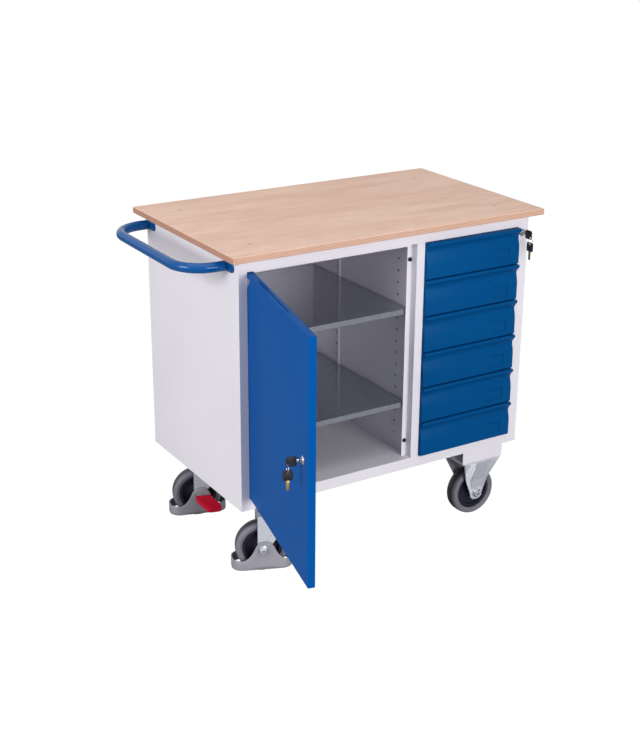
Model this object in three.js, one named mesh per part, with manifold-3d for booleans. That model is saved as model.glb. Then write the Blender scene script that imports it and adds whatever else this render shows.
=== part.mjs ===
// Mobile workbench: a steel cabinet with a hinged door, two shelves and six drawers under a
// multiplex worktop, on two swivel castors with foot guards and two fixed castors.
// Millimetres, +Z up. Inside the bench group X runs right along the front, Y runs back, and
// the worktop's front left corner stands over 0, 0. The finished group is moved so that the
// floor point under the middle of the whole bench is the origin.

import * as THREE from "three";
import { mergeVertices } from "three/addons/utils/BufferGeometryUtils.js";
import Module from "manifold-3d";

const wasm = await Module();
wasm.setup();

// Worktop board
const topLength = 1000;
const topDepth = 600;
const topThickness = 18;
const topHeight = 955;
const topEdgeBreak = 1.5;

// Cabinet body
const sideOverhang = 30;
const frontOverhang = 30;
const backOverhang = 25;
const sheet = 1.5;
const leftStileWidth = 25;
const rightStileWidth = 36;
const stileReturn = 12;
const rearFlange = 20;
const topRailHeight = 34;
const bottomRailHeight = 32;
const postWidth = 26;
const drawerOpening = 325;
const stopDepth = 24;
const stopWidth = 15.5;
const topStopHeight = 12;
const chassisWidth = 100;
const chassisSheet = 3;

// Shelf wall perforation
const liningDepth = 9.5;
const holeRows = 16;
const firstHoleDown = 97;
const lastHoleUp = 83;
const frontHoleBack = 88;
const rearHoleBack = 405;
const holeRadius = 3.9;
const beadBack = 386;
const beadWidth = 12;
const beadHeight = 3;

// Shelves
const shelfRim = 15;
const shelfSetback = 30;
const shelfRearGap = 6;
const shelfSideGap = 5;
const shelfPinDrop = 10;
const upperShelfRow = 4;
const lowerShelfRow = 12;
const runGap = 0.3;

// Door
const doorOpenAngle = 103;
const doorGap = 2.5;
const doorThickness = 18.5;
const doorLip = 14;
const doorEdgeRadius = 6;
const pivotInset = 10.5;
const pivotDepth = 9.5;
const pivotRadius = 4;
const pivotReach = 8;
const pivotCollarRadius = 8;
const cornerCut = 44;
const cornerTab = 14;
const slotStart = 92;
const slotLength = 256;
const slotWidth = 2.5;
const slotInset = 7;
const stiffenerWidth = 60;
const stiffenerDepth = 13;
const stiffenerBrim = 14;
const stiffenerEndGap = 22;
const lockEdgeDistance = 42;
const bufferRadius = 6;
const bufferHeight = 5;
const bufferStemRadius = 2.5;
const bufferFromRail = 48.5;

// Drawers
const drawerCount = 6;
const frontGap = 2;
const frontSideGap = 1;
const lipReach = 21.5;
const boxSetback = 3.5;
const boxSideRoom = 16;
const boxDepth = 500;
const boxTopGap = 20.5;
const boxBottomRise = 10;
const runnerReach = 13;
const runnerInside = 10;
const runnerRise = 28;
const runnerLength = 490;
const runnerSetback = 30;
const uprightDepth = 30;
const uprightInset = 40;
const catchHeight = 10;
const catchThickness = 3;
const catchSetback = 22;
const catchSideGap = 1.5;

// Locks and keys
const lockBarrelRadius = 9;
const lockPlugRadius = 6.6;
const lockPlugRoom = 0.5;
const rosetteRadius = 11;
const rosetteHeight = 2.5;
const camThickness = 2.5;
const camWidth = 12;
const doorCamLength = 36;
const drawerCamLength = 12;
const doorBarrelRoom = 3;
const drawerBarrelLength = 12;
const drawerLockDown = 18.5;
const drawerLockInset = 20.4;
const keyHeadLength = 26.5;
const keyHeadWidth = 25;
const keyHeadThickness = 3;
const keyHeadStart = 15;
const keyNeckWidth = 8;
const keyBladeThickness = 2.2;
const keyBladeLength = 24.5;
const keyCorner = 5;
const keyHoleRadius = 3.4;
const keyHoleInset = 5;
const ringRadius = 8;
const ringWire = 0.8;

// Locking bar for the drawers
const barThickness = 3;
const barEnd = 12;
const camRoom = 2.5;

// Push handle
const handleTubeRadius = 13.5;
const handleReach = 117;
const handleBendRadius = 86;
const handleDrop = 45;
const handleFrontInset = 61;
const handleBackInset = 19;
const handlePlateThickness = 4;
const handlePlateForward = 40;
const handlePlateBack = 18;

// Wheels
const wheelRadius = 75;
const tyreWidth = 42;
const tyreShoulder = 6;
const coreRadius = 56;
const coreWidth = 32;
const coreRimDepth = 9;
const webThickness = 8;
const hubRadius = 15;
const hubLength = 56.8;
const axleRadius = 6;
const axleRoom = 0.3;
const boltHeadRadius = 10;
const boltHeadHeight = 6;

// Castor mounting
const plateLength = 140;
const plateWidth = 110;
const plateThickness = 4;
const frontCastorInset = 58;
const rearCastorInset = 460;
const legSheet = 4;

// Fixed castors
const fixedCastorInset = 118;
const riserHeight = 41;
const riserSheet = 3;
const riserOverlap = 2.5;
const fixedLegTop = 134;
const fixedLegFoot = 22;
const fixedBendHeight = 45;
const fixedTopSpread = 22;
const fixedRibWidth = 40;
const fixedRibHeight = 3;

// Swivel castors
const swivelInset = 137;
const frontSwivelTurn = -22;
const rearSwivelTurn = -17;
const castorTrail = 40;
const crownHeight = 177.4;
const headHeight = 54.6;
const crownThickness = 5;
const headTopRadius = 48;
const headFootRadius = 41;
const kingpinRadius = 8;
const kingpinReach = 12;
const forkLegBack = 14;
const forkLegFoot = 17;
const forkCrownFront = 42;

// Foot guard
const guardLength = 172;
const guardWidth = 73;
const guardEndRadius = 31;
const guardWall = 3.5;
const guardBottom = 14;
const guardBandTop = 42;
const guardShoulder = 100;
const guardBellReach = 68;
const guardBellShift = 6;

// Brake pedal
const pedalPivotHeight = 70;
const pedalBarrelRadius = 6;
const pedalPinRadius = 2.8;
const pedalPinRoom = 0.4;
const pedalStart = -10;
const pedalWidth = 47;
const pedalSkew = 30;
const pedalReach = 42;
const pedalFall = 22;
const pedalThickness = 4;
const pedalSkirt = 13;
const pedalCorner = 9;
const lugWidth = 5;

// Facets and tolerances
const wheelFacets = 28;
const roundFacets = 16;
const smallFacets = 8;
const hexagon = 6;
const cornerSteps = 3;
const weld = 0.0005;
const overrun = 10;

// Finishes
const lightGrey = { color: 0xded9dd, roughness: 0.45, metalness: 0.1 };
const drawerBlue = { color: 0x12538f, roughness: 0.4, metalness: 0.1 };
const doorBlue = { color: 0x1d5298, roughness: 0.4, metalness: 0.1 };
const multiplex = { color: 0xd8b498, roughness: 0.65, metalness: 0 };
const galvanised = { color: 0x8f959c, roughness: 0.4, metalness: 0.7 };
const zinc = { color: 0xaab0b7, roughness: 0.35, metalness: 0.8 };
const blackRubber = { color: 0x17171b, roughness: 0.8, metalness: 0 };
const tyreGrey = { color: 0x77747c, roughness: 0.75, metalness: 0 };
const coreBlack = { color: 0x23232e, roughness: 0.5, metalness: 0 };
const guardGrey = { color: 0x96969e, roughness: 0.5, metalness: 0 };
const pedalRed = { color: 0xa5142d, roughness: 0.4, metalness: 0 };
const nickel = { color: 0xc4c4c8, roughness: 0.25, metalness: 0.9 };
const keyBlack = { color: 0x1a1a22, roughness: 0.55, metalness: 0 };

// Places worked out from the sizes above
const cabLeft = sideOverhang;
const cabRight = topLength - sideOverhang;
const cabFront = frontOverhang;
const cabBack = topDepth - backOverhang;
const cabTop = topHeight - topThickness;
const cabBottom = crownHeight + headHeight;
const cabinetHeight = cabTop - cabBottom;
const holePitch = (cabinetHeight - firstHoleDown - lastHoleUp) / (holeRows - 1);
const openTop = cabTop - topRailHeight;
const openBottom = cabBottom + bottomRailHeight;
const openHeight = openTop - openBottom;
const doorwayLeft = cabLeft + leftStileWidth;
const drawerRight = cabRight - rightStileWidth;
const drawerLeft = drawerRight - drawerOpening;
const postLeft = drawerLeft - postWidth;
const stopFace = cabFront + stopDepth;
const backFace = cabBack - 2 * sheet;
const lineFace = cabLeft + sheet + liningDepth;
const axleHeight = wheelRadius;
const axleBore = axleRadius + axleRoom;
const legInner = hubLength / 2 + runGap;
const legOuter = legInner + legSheet;

// Solids from three.js geometry

function solid(geometry) {
  const bare = new THREE.BufferGeometry();
  bare.setAttribute("position", geometry.getAttribute("position"));
  if (geometry.index) bare.setIndex(geometry.index);
  const merged = mergeVertices(bare, weld);
  const spot = merged.getAttribute("position");
  const [a, b, c] = [new THREE.Vector3(), new THREE.Vector3(), new THREE.Vector3()];
  const corners = [];
  let volume = 0;
  for (let i = 0; i < merged.index.count; i += 3) {
    const [p, q, r] = [0, 1, 2].map((k) => merged.index.getX(i + k));
    if (p === q || q === r || r === p) continue;
    corners.push(p, q, r);
    a.fromBufferAttribute(spot, p);
    b.fromBufferAttribute(spot, q);
    c.fromBufferAttribute(spot, r);
    volume += a.dot(b.cross(c));
  }
  const triVerts = Uint32Array.from(volume < 0 ? corners.reverse() : corners);
  const vertProperties = Float32Array.from(spot.array);
  return new wasm.Manifold(new wasm.Mesh({ numProp: 3, vertProperties, triVerts }));
}

function part(name, body, finish) {
  const { vertProperties, triVerts } = body.getMesh();
  const geometry = new THREE.BufferGeometry();
  geometry.setAttribute("position", new THREE.BufferAttribute(vertProperties, 3));
  geometry.setIndex(new THREE.BufferAttribute(triVerts, 1));
  geometry.computeVertexNormals();
  const mesh = new THREE.Mesh(geometry, new THREE.MeshStandardMaterial(finish));
  mesh.name = name;
  return mesh;
}

function placed(name, x, y, z, turn = 0) {
  const group = new THREE.Group();
  group.name = name;
  group.position.set(x, y, z);
  group.rotation.z = THREE.MathUtils.degToRad(turn);
  return group;
}

// Outlines

function outline(points) {
  return new THREE.Shape(points.map(([a, b]) => new THREE.Vector2(a, b)));
}

function rectangle(a0, b0, a1, b1) {
  return outline([[a0, b0], [a1, b0], [a1, b1], [a0, b1]]);
}

// A closed outline whose corners are rounded, each corner given as [a, b, radius]
function roundedOutline(corners) {
  const shape = new THREE.Shape();
  corners.forEach(([a, b, radius], i) => {
    const here = new THREE.Vector2(a, b);
    const before = new THREE.Vector2(...corners.at(i - 1));
    const after = new THREE.Vector2(...corners[(i + 1) % corners.length]);
    const [inward, onward] = [before, after].map((end) => end.sub(here).normalize());
    const cut = radius / Math.tan(Math.acos(inward.dot(onward)) / 2);
    const start = here.clone().addScaledVector(inward, cut);
    const end = here.clone().addScaledVector(onward, cut);
    if (i === 0) shape.moveTo(start.x, start.y);
    else shape.lineTo(start.x, start.y);
    if (radius > 0) shape.quadraticCurveTo(a, b, end.x, end.y);
  });
  shape.closePath();
  return shape;
}

function roundedRectangle(a0, b0, a1, b1, radius) {
  return roundedOutline([[a0, b0, radius], [a1, b0, radius], [a1, b1, radius], [a0, b1, radius]]);
}

function disc(a, b, radius, facets = roundFacets) {
  const start = Math.PI / facets;
  const points = [];
  for (let i = 0; i < facets; i += 1) {
    const angle = start + (i * 2 * Math.PI) / facets;
    points.push([a + radius * Math.cos(angle), b + radius * Math.sin(angle)]);
  }
  return outline(points);
}

// A bent sheet seen on edge: the line is one face, and the sheet lies on its left side, or on
// its right side when the thickness is negative
function foldedSheet(line, thickness) {
  const points = line.map(([a, b]) => new THREE.Vector2(a, b));
  const normals = points.slice(1).map((point, i) => {
    const along = point.clone().sub(points[i]).normalize();
    return new THREE.Vector2(-along.y, along.x);
  });
  const inner = points.map((point, i) => {
    const first = normals[Math.max(i - 1, 0)];
    const second = normals[Math.min(i, normals.length - 1)];
    const middle = first.clone().add(second);
    return point.clone().addScaledVector(middle, thickness / (1 + first.dot(second)));
  });
  return new THREE.Shape([...points, ...inner.reverse()]);
}

// Straight pieces along each axis: outlines are x, y along Z, then y, z along X and x, z along Y

function extruded(shape, length) {
  return new THREE.ExtrudeGeometry(shape, {
    depth: length,
    bevelEnabled: false,
    curveSegments: cornerSteps,
  });
}

const unitX = new THREE.Vector3(1, 0, 0);
const unitY = new THREE.Vector3(0, 1, 0);
const unitZ = new THREE.Vector3(0, 0, 1);
const turnToX = new THREE.Matrix4().makeBasis(unitY, unitZ, unitX);
const turnToY = new THREE.Matrix4().makeBasis(unitX, unitZ, unitY.clone().negate());

function alongZ(shape, z0, z1) {
  return solid(extruded(shape, z1 - z0).translate(0, 0, z0));
}

function alongX(shape, x0, x1) {
  return solid(extruded(shape, x1 - x0).applyMatrix4(turnToX).translate(x0, 0, 0));
}

function alongY(shape, y0, y1) {
  return solid(extruded(shape, y1 - y0).applyMatrix4(turnToY).translate(0, y1, 0));
}

// A turned piece on the Y axis from its profile of [radius, place along Y]
function turnedY(profile, facets) {
  const points = profile.map(([radius, along]) => new THREE.Vector2(radius, along));
  const lathe = new THREE.LatheGeometry(points, facets, Math.PI / facets);
  return solid(lathe);
}

function turnedZ(profile, facets) {
  const points = profile.map(([radius, along]) => new THREE.Vector2(radius, along));
  const lathe = new THREE.LatheGeometry(points, facets, Math.PI / facets);
  return solid(lathe.rotateX(Math.PI / 2));
}

function joined(bodies) {
  return bodies.reduce((sum, body) => sum.add(body));
}

// Worktop

function worktop() {
  const board = new THREE.ExtrudeGeometry(rectangle(0, 0, topLength, topDepth), {
    depth: topThickness - 2 * topEdgeBreak,
    bevelThickness: topEdgeBreak,
    bevelSize: topEdgeBreak,
    bevelOffset: -topEdgeBreak,
    bevelSegments: 1,
  });
  return solid(board.translate(0, 0, topHeight - topThickness + topEdgeBreak));
}

// Cabinet shell

function leftSide() {
  const line = [
    [cabLeft + rearFlange, cabBack],
    [cabLeft, cabBack],
    [cabLeft, cabFront],
    [doorwayLeft, cabFront],
    [doorwayLeft, cabFront + stileReturn],
  ];
  return alongZ(foldedSheet(line, sheet), cabBottom, cabTop);
}

function rightSide() {
  const line = [
    [drawerRight, cabFront + stileReturn],
    [drawerRight, cabFront],
    [cabRight, cabFront],
    [cabRight, cabBack],
    [cabRight - rearFlange, cabBack],
  ];
  const lockHole = alongY(
    disc(drawerLockX, drawerLockZ, lockBarrelRadius + runGap),
    cabFront - overrun,
    cabFront + overrun,
  );
  return alongZ(foldedSheet(line, sheet), cabBottom, cabTop).subtract(lockHole);
}

function backPanel() {
  const plan = rectangle(cabLeft + sheet, backFace, cabRight - sheet, backFace + sheet);
  return alongZ(plan, cabBottom, cabTop - sheet);
}

// One U-channel under the floor that a pair of castors bolts to
function chassisChannel(centre) {
  const line = [
    [centre - chassisWidth / 2, openBottom - sheet],
    [centre - chassisWidth / 2, cabBottom],
    [centre + chassisWidth / 2, cabBottom],
    [centre + chassisWidth / 2, openBottom - sheet],
  ];
  return alongY(foldedSheet(line, chassisSheet), stopFace + runGap, backFace - rearFlange);
}

function pivotHole(z0, z1) {
  const round = disc(pivotX, pivotY, pivotRadius + 2 * runGap);
  return alongZ(round, z0, z1);
}

function floorTray() {
  const apron = [
    [stopFace, cabBottom],
    [cabFront, cabBottom],
    [cabFront, openBottom],
    [backFace, openBottom],
    [backFace, cabBottom],
  ];
  const between = alongX(foldedSheet(apron, -sheet), doorwayLeft, drawerRight);
  const plan = rectangle(
    cabLeft + sheet,
    cabFront + stileReturn,
    cabRight - sheet,
    backFace,
  );
  const floor = alongZ(plan, openBottom - sheet, openBottom);
  return joined([between, floor, chassisChannel(swivelX), chassisChannel(fixedX)]).subtract(
    pivotHole(openBottom - overrun, openBottom + overrun),
  );
}

function topFrame() {
  const plain = [
    [stopFace, openTop],
    [cabFront, openTop],
    [cabFront, cabTop],
    [backFace, cabTop],
  ];
  const withStop = [[stopFace, openTop - topStopHeight], ...plain];
  const doorSide = alongX(foldedSheet(withStop, -sheet), doorwayLeft, postLeft - stopWidth);
  const drawerSide = alongX(foldedSheet(plain, -sheet), postLeft - stopWidth, drawerRight);
  const plan = rectangle(cabLeft + sheet, cabFront + stileReturn, cabRight - sheet, backFace);
  const cover = alongZ(plan, cabTop - sheet, cabTop);
  return joined([doorSide, drawerSide, cover]).subtract(
    pivotHole(openTop - overrun, openTop + overrun),
  );
}

function centrePost() {
  const line = [
    [postLeft - stopWidth, stopFace],
    [postLeft, stopFace],
    [postLeft, cabFront],
    [drawerLeft, cabFront],
    [drawerLeft, cabFront + stileReturn],
  ];
  const stems = bufferHeights.map((z) =>
    alongY(disc(bufferX, z, bufferStemRadius + runGap, smallFacets), cabFront, topDepth),
  );
  return alongZ(foldedSheet(line, sheet), openBottom, openTop).subtract(joined(stems));
}

// Rows of shelf holes through a wall that stands across X
function shelfHoles(x0, x1) {
  const places = [frontHoleBack, rearHoleBack];
  const rows = Array.from({ length: holeRows }, (_, row) => row);
  return joined(
    places.flatMap((back) =>
      rows.map((row) => {
        const round = disc(cabFront + back, holeHeight(row), holeRadius, smallFacets);
        return alongX(round, x0, x1);
      }),
    ),
  );
}

function holeHeight(row) {
  return cabTop - firstHoleDown - row * holePitch;
}

function divider() {
  const bead = cabFront + beadBack;
  const line = [
    [postLeft, backFace],
    [postLeft, bead + beadWidth],
    [postLeft - beadHeight, bead + beadWidth - beadHeight],
    [postLeft - beadHeight, bead + beadHeight],
    [postLeft, bead],
    [postLeft, stopFace + sheet],
  ];
  return alongZ(foldedSheet(line, sheet), openBottom, cabTop - sheet).subtract(
    shelfHoles(postLeft - overrun, postLeft + overrun),
  );
}

function leftLining() {
  const line = [
    [cabLeft + sheet, stopFace + sheet],
    [lineFace, stopFace + sheet],
    [lineFace, backFace],
  ];
  return alongZ(foldedSheet(line, sheet), openBottom, cabTop - sheet).subtract(
    shelfHoles(lineFace - liningDepth / 2, lineFace + liningDepth / 2),
  );
}

// Shelves: a tray with its rim down, hung on four pins in the wall holes

function shelf(row) {
  const z = holeHeight(row) + shelfPinDrop;
  const [x0, x1] = [lineFace + shelfSideGap, postLeft - shelfSideGap];
  const [y0, y1] = [cabFront + shelfSetback, backFace - shelfRearGap];
  const tray = alongZ(rectangle(x0, y0, x1, y1), z - shelfRim, z);
  const hollow = rectangle(x0 + sheet, y0 + sheet, x1 - sheet, y1 - sheet);
  const pins = [frontHoleBack, rearHoleBack].flatMap((back) => {
    const round = disc(cabFront + back, holeHeight(row), holeRadius - 2 * runGap, smallFacets);
    const reach = shelfSideGap + 2 * sheet;
    return [
      alongX(round, x0 - reach, x0 + sheet),
      alongX(round, x1 - sheet, x1 + reach),
    ];
  });
  return joined([tray.subtract(alongZ(hollow, z - shelfRim - overrun, z - sheet)), ...pins]);
}

// Runner frames: two uprights and one C-rail per drawer, from a wall towards the drawers

function drawerBase(index) {
  return openBottom + (drawerCount - 1 - index) * drawerPitch;
}

function runnerHeight(index) {
  return drawerBase(index) + boxBottomRise + runnerRise;
}

function runnerFrame(wall, face, side) {
  const [y0, y1] = [cabFront + runnerSetback, cabFront + runnerSetback + runnerLength];
  const rails = Array.from({ length: drawerCount }, (_, i) => {
    const z = runnerHeight(i);
    const half = runnerInside / 2;
    const tip = face + side * runnerReach;
    const line = [
      [tip, z - half],
      [face + side * sheet, z - half],
      [face + side * sheet, z + half],
      [tip, z + half],
    ];
    return alongY(foldedSheet(line, side * sheet), y0, y1);
  });
  const uprights = [y0 + uprightInset, y1 - uprightInset - uprightDepth].map((y) => {
    const line = [
      [wall, y],
      [face, y],
      [face, y + uprightDepth],
      [wall, y + uprightDepth],
    ];
    return alongZ(foldedSheet(line, side * sheet), openBottom, cabTop - sheet);
  });
  return joined([...rails, ...uprights]);
}

// Door: a pan of bent sheet with return lips, on two pivot pins. Its own frame has the pivot
// axis at 0, 0 and the closed door running along X

function doorPan() {
  const [x0, x1] = [-pivotInset, doorWidth - pivotInset];
  const [y0, y1] = [-pivotDepth, doorThickness - pivotDepth];
  const radius = doorEdgeRadius;
  const outer = roundedOutline([[x0, y0, radius], [x1, y0, 2 * sheet], [x1, y1, 0], [x0, y1, 0]]);
  const inner = roundedOutline([
    [x0 + sheet, y0 + sheet, radius - sheet],
    [x1 - sheet, y0 + sheet, sheet],
    [x1 - sheet, y1 - sheet, 0],
    [x0 + sheet, y1 - sheet, 0],
  ]);
  const mouth = rectangle(x0 + doorLip, y0 + doorThickness / 2, x1 - doorLip, y1 + overrun);
  const pan = alongZ(outer, doorBottom, doorTop)
    .subtract(alongZ(inner, doorBottom + sheet, doorTop - sheet))
    .subtract(alongZ(mouth, doorBottom + doorLip, doorTop - doorLip));
  const cut = outline([
    [x0 - overrun, doorTop - cornerTab],
    [x0 + cornerCut, doorTop - cornerTab],
    [x0, doorTop - cornerTab - cornerCut],
    [x0 - overrun, doorTop - cornerTab - cornerCut],
  ]);
  const slot = rectangle(
    x0 + slotStart,
    y0 + slotInset,
    x0 + slotStart + slotLength,
    y0 + slotInset + slotWidth,
  );
  const lockHole = disc(doorLockX, doorLockZ, lockBarrelRadius + runGap);
  return pan
    .subtract(alongY(cut, y0 - overrun, y1 + overrun))
    .subtract(alongZ(slot, doorTop - overrun, doorTop + overrun))
    .subtract(alongY(lockHole, y0 - overrun, y0 + 2 * sheet));
}

function doorPanel() {
  const pinEnds = [
    [doorTop - sheet, doorTop + pivotReach],
    [doorBottom - pivotReach, doorBottom + sheet],
  ];
  const pins = pinEnds.map(([z0, z1]) => alongZ(disc(0, 0, pivotRadius), z0, z1));
  const collar = alongZ(disc(0, 0, pivotCollarRadius), openBottom + runGap, doorBottom + sheet);
  return joined([doorPan(), collar, ...pins]);
}

function doorStiffener() {
  const y = sheet - pivotDepth + runGap;
  const half = stiffenerWidth / 2;
  const middle = doorWidth / 2 - pivotInset;
  const line = [
    [middle + half + stiffenerBrim, y],
    [middle + half, y],
    [middle + half - sheet, y + stiffenerDepth],
    [middle - half + sheet, y + stiffenerDepth],
    [middle - half, y],
    [middle - half - stiffenerBrim, y],
  ];
  const [z0, z1] = [doorBottom + stiffenerEndGap, doorTop - stiffenerEndGap];
  return alongZ(foldedSheet(line, -sheet), z0, z1);
}

function buffer(z) {
  const face = stopFace;
  const profile = [
    [0, face - bufferHeight],
    [bufferRadius - sheet, face - bufferHeight],
    [bufferRadius, face - bufferHeight + sheet],
    [bufferRadius, face],
    [bufferStemRadius, face],
    [bufferStemRadius, face + 2 * sheet],
    [0, face + 2 * sheet],
  ];
  return turnedY(profile, roundFacets).translate([bufferX, 0, z]);
}

// Drawers

const frontProfileShares = [
  [0, 0],
  [0.82, 0],
  [1, 0.03],
  [0.95, 0.075],
  [0.64, 0.14],
  [0.42, 0.21],
  [0.38, 0.27],
  [0.5, 0.36],
  [0.62, 0.46],
  [0.67, 0.56],
  [0.67, 0.975],
  [0.6, 1],
  [0, 1],
];

function drawerFront(index) {
  const top = drawerBase(index) + drawerPitch - frontGap / 2;
  const height = drawerPitch - frontGap;
  const root = cabFront + boxSetback;
  const line = frontProfileShares.map(([out, down]) => [root - out * lipReach, top - down * height]);
  const [x0, x1] = [drawerLeft + frontSideGap, drawerRight - frontSideGap];
  return joined([
    alongX(foldedSheet(line, sheet), x0, x1),
    alongX(outline(line), x0, x0 + sheet),
    alongX(outline(line), x1 - sheet, x1),
  ]);
}

function drawerBox(index) {
  const [x0, x1] = [drawerLeft + boxSideRoom, drawerRight - boxSideRoom];
  const y0 = cabFront + boxSetback;
  const z0 = drawerBase(index) + boxBottomRise;
  const tray = alongZ(rectangle(x0, y0, x1, y0 + boxDepth), z0, z0 + boxHeight);
  const hollow = rectangle(x0 + sheet, y0 + sheet, x1 - sheet, y0 + boxDepth - sheet);
  const inside = alongZ(hollow, z0 + sheet, z0 + boxHeight + overrun);
  const z = runnerHeight(index);
  const half = runnerInside / 2 - runGap;
  const [s0, s1] = [y0 + runnerSetback, y0 + boxDepth - runnerSetback];
  const reach = boxSideRoom - sheet - 2 * runGap - sheet;
  const sliders = [
    alongY(rectangle(x0 - reach + sheet, z - half, x0 + sheet / 2, z + half), s0, s1),
    alongY(rectangle(x1 - sheet / 2, z - half, x1 + reach - sheet, z + half), s0, s1),
  ];
  const catchBase = z0 + boxHeight - catchHeight;
  const hook = alongZ(
    rectangle(
      x1 - sheet / 2,
      cabFront + catchSetback,
      drawerRight - catchSideGap,
      cabFront + catchSetback + catchThickness,
    ),
    catchBase,
    catchBase + catchHeight,
  );
  const panel = alongY(
    rectangle(
      drawerLeft + frontSideGap,
      drawerBase(index) + frontGap / 2,
      drawerRight - frontSideGap,
      drawerBase(index) + drawerPitch - frontGap / 2,
    ),
    y0,
    y0 + sheet,
  );
  return joined([panel, tray.subtract(inside), hook, ...sliders]);
}

// A flat bar behind the right stile. The drawers' lock pushes it sideways in front of the catches
function lockingBar() {
  const front = cabFront + stileReturn + runGap;
  const plan = rectangle(
    drawerRight + runGap,
    front,
    drawerLockX - camWidth / 2 - camRoom,
    front + barThickness,
  );
  return alongZ(plan, lowestCatch - barEnd, drawerLockZ + camWidth / 2 + sheet);
}

// Cylinder locks. In a lock's frame the sheet's face is y = 0 and the key comes out towards -Y

function lockHousing(length) {
  const bore = lockPlugRadius + lockPlugRoom;
  const profile = [
    [bore, -rosetteHeight],
    [rosetteRadius - sheet, -rosetteHeight],
    [rosetteRadius, -runGap],
    [lockBarrelRadius, -runGap],
    [lockBarrelRadius, length],
    [bore, length],
    [bore, -rosetteHeight],
  ];
  return turnedY(profile, roundFacets);
}

function lockPlug(length, camLength, camTurn) {
  const profile = [
    [0, -rosetteHeight - runGap],
    [lockPlugRadius, -rosetteHeight - runGap],
    [lockPlugRadius, length + runGap],
    [0, length + runGap],
  ];
  const half = camWidth / 2;
  const arm = roundedOutline([
    [-half, half, half],
    [-half, -camLength, half],
    [half, -camLength, half],
    [half, half, half],
  ]);
  const cam = extruded(arm, camThickness).applyMatrix4(turnToY);
  cam.rotateY(THREE.MathUtils.degToRad(camTurn));
  cam.translate(0, length + runGap + camThickness, 0);
  return turnedY(profile, roundFacets).add(solid(cam));
}

function keyHead(y0, z0, length, width) {
  return roundedRectangle(y0 - length, z0 - width / 2, y0, z0 + width / 2, keyCorner);
}

function insertedKey() {
  const start = -keyHeadStart;
  const face = -rosetteHeight - 2 * runGap;
  const half = keyHeadThickness / 2;
  const head = alongX(keyHead(start, 0, keyHeadLength, keyHeadWidth), -half, half);
  const neck = rectangle(start - keyCorner, -keyNeckWidth / 2, face, keyNeckWidth / 2);
  const blade = alongX(neck, -keyBladeThickness / 2, keyBladeThickness / 2);
  const eye = alongX(disc(keyEyeY, keyEyeZ, keyHoleRadius), -half - overrun, half + overrun);
  return head.add(blade).subtract(eye);
}

// The spare key hangs on its ring, whose middle is 0, 0, 0 and which passes through the other
// key's eye at its top
function spareKey() {
  const ring = new THREE.TorusGeometry(ringRadius, ringWire, smallFacets, roundFacets);
  const half = keyHeadThickness / 2;
  const top = keyHoleInset - ringRadius;
  const middle = top - keyHeadLength / 2;
  const tip = top - keyHeadLength - keyBladeLength;
  const neck = keyNeckWidth / 2;
  const width = keyHeadWidth / 2;
  const head = roundedRectangle(-width, top - keyHeadLength, width, top, keyCorner);
  const blade = roundedOutline([
    [-neck, middle, 0],
    [-neck, tip, sheet],
    [neck, tip + neck, sheet],
    [neck, middle, 0],
  ]);
  return joined([
    solid(ring.rotateX(Math.PI / 2)),
    alongX(head, -half, half),
    alongX(blade, -keyBladeThickness / 2, keyBladeThickness / 2),
  ]);
}

// Push handle

function handlePath() {
  const straight = handleReach - handleBendRadius;
  const x = (out) => cabLeft - out;
  const bend = handleBendRadius;
  const z = topHeight - handleDrop;
  const point = (out, y) => new THREE.Vector3(x(out), y, z);
  const path = new THREE.CurvePath();
  const arcShare = 0.5523;
  const arc = arcShare * bend;
  path.add(new THREE.LineCurve3(point(handlePlateThickness / 2, handleFrontY), point(straight, handleFrontY)));
  path.add(
    new THREE.CubicBezierCurve3(
      point(straight, handleFrontY),
      point(straight + arc, handleFrontY),
      point(handleReach, handleFrontY + bend - arc),
      point(handleReach, handleFrontY + bend),
    ),
  );
  path.add(
    new THREE.LineCurve3(
      point(handleReach, handleFrontY + bend),
      point(handleReach, handleBackY - bend),
    ),
  );
  path.add(
    new THREE.CubicBezierCurve3(
      point(handleReach, handleBackY - bend),
      point(handleReach, handleBackY - bend + arc),
      point(straight + arc, handleBackY),
      point(straight, handleBackY),
    ),
  );
  path.add(new THREE.LineCurve3(point(straight, handleBackY), point(handlePlateThickness / 2, handleBackY)));
  return path;
}

function pushHandle() {
  const tube = new THREE.ExtrudeGeometry(disc(0, 0, handleTubeRadius, handleFacets), {
    extrudePath: handlePath(),
    steps: handleSteps,
    bevelEnabled: false,
  });
  const z = topHeight - handleDrop;
  const plates = [handleFrontY, handleBackY].map((y) =>
    alongX(
      roundedRectangle(
        y - handlePlateForward,
        z - handleTubeRadius,
        y + handlePlateBack,
        z + handleTubeRadius,
        handleTubeRadius - sheet,
      ),
      cabLeft - handlePlateThickness,
      cabLeft,
    ),
  );
  return joined([solid(tube), ...plates]);
}

// Wheels, turned on the Y axis through 0, 0, 0

function tyre() {
  const half = tyreWidth / 2;
  const bore = (coreRadius + runGap) / Math.cos(Math.PI / wheelFacets);
  const tread = wheelRadius / Math.cos(Math.PI / wheelFacets);
  const crown = tread - tyreShoulder / 3;
  const profile = [
    [bore, -coreWidth / 2],
    [coreRadius + tyreShoulder, -half],
    [tread - tyreShoulder, -half],
    [crown, -half + tyreShoulder],
    [tread, 0],
    [crown, half - tyreShoulder],
    [tread - tyreShoulder, half],
    [coreRadius + tyreShoulder, half],
    [bore, coreWidth / 2],
    [bore, -coreWidth / 2],
  ];
  return turnedY(profile, wheelFacets);
}

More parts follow.
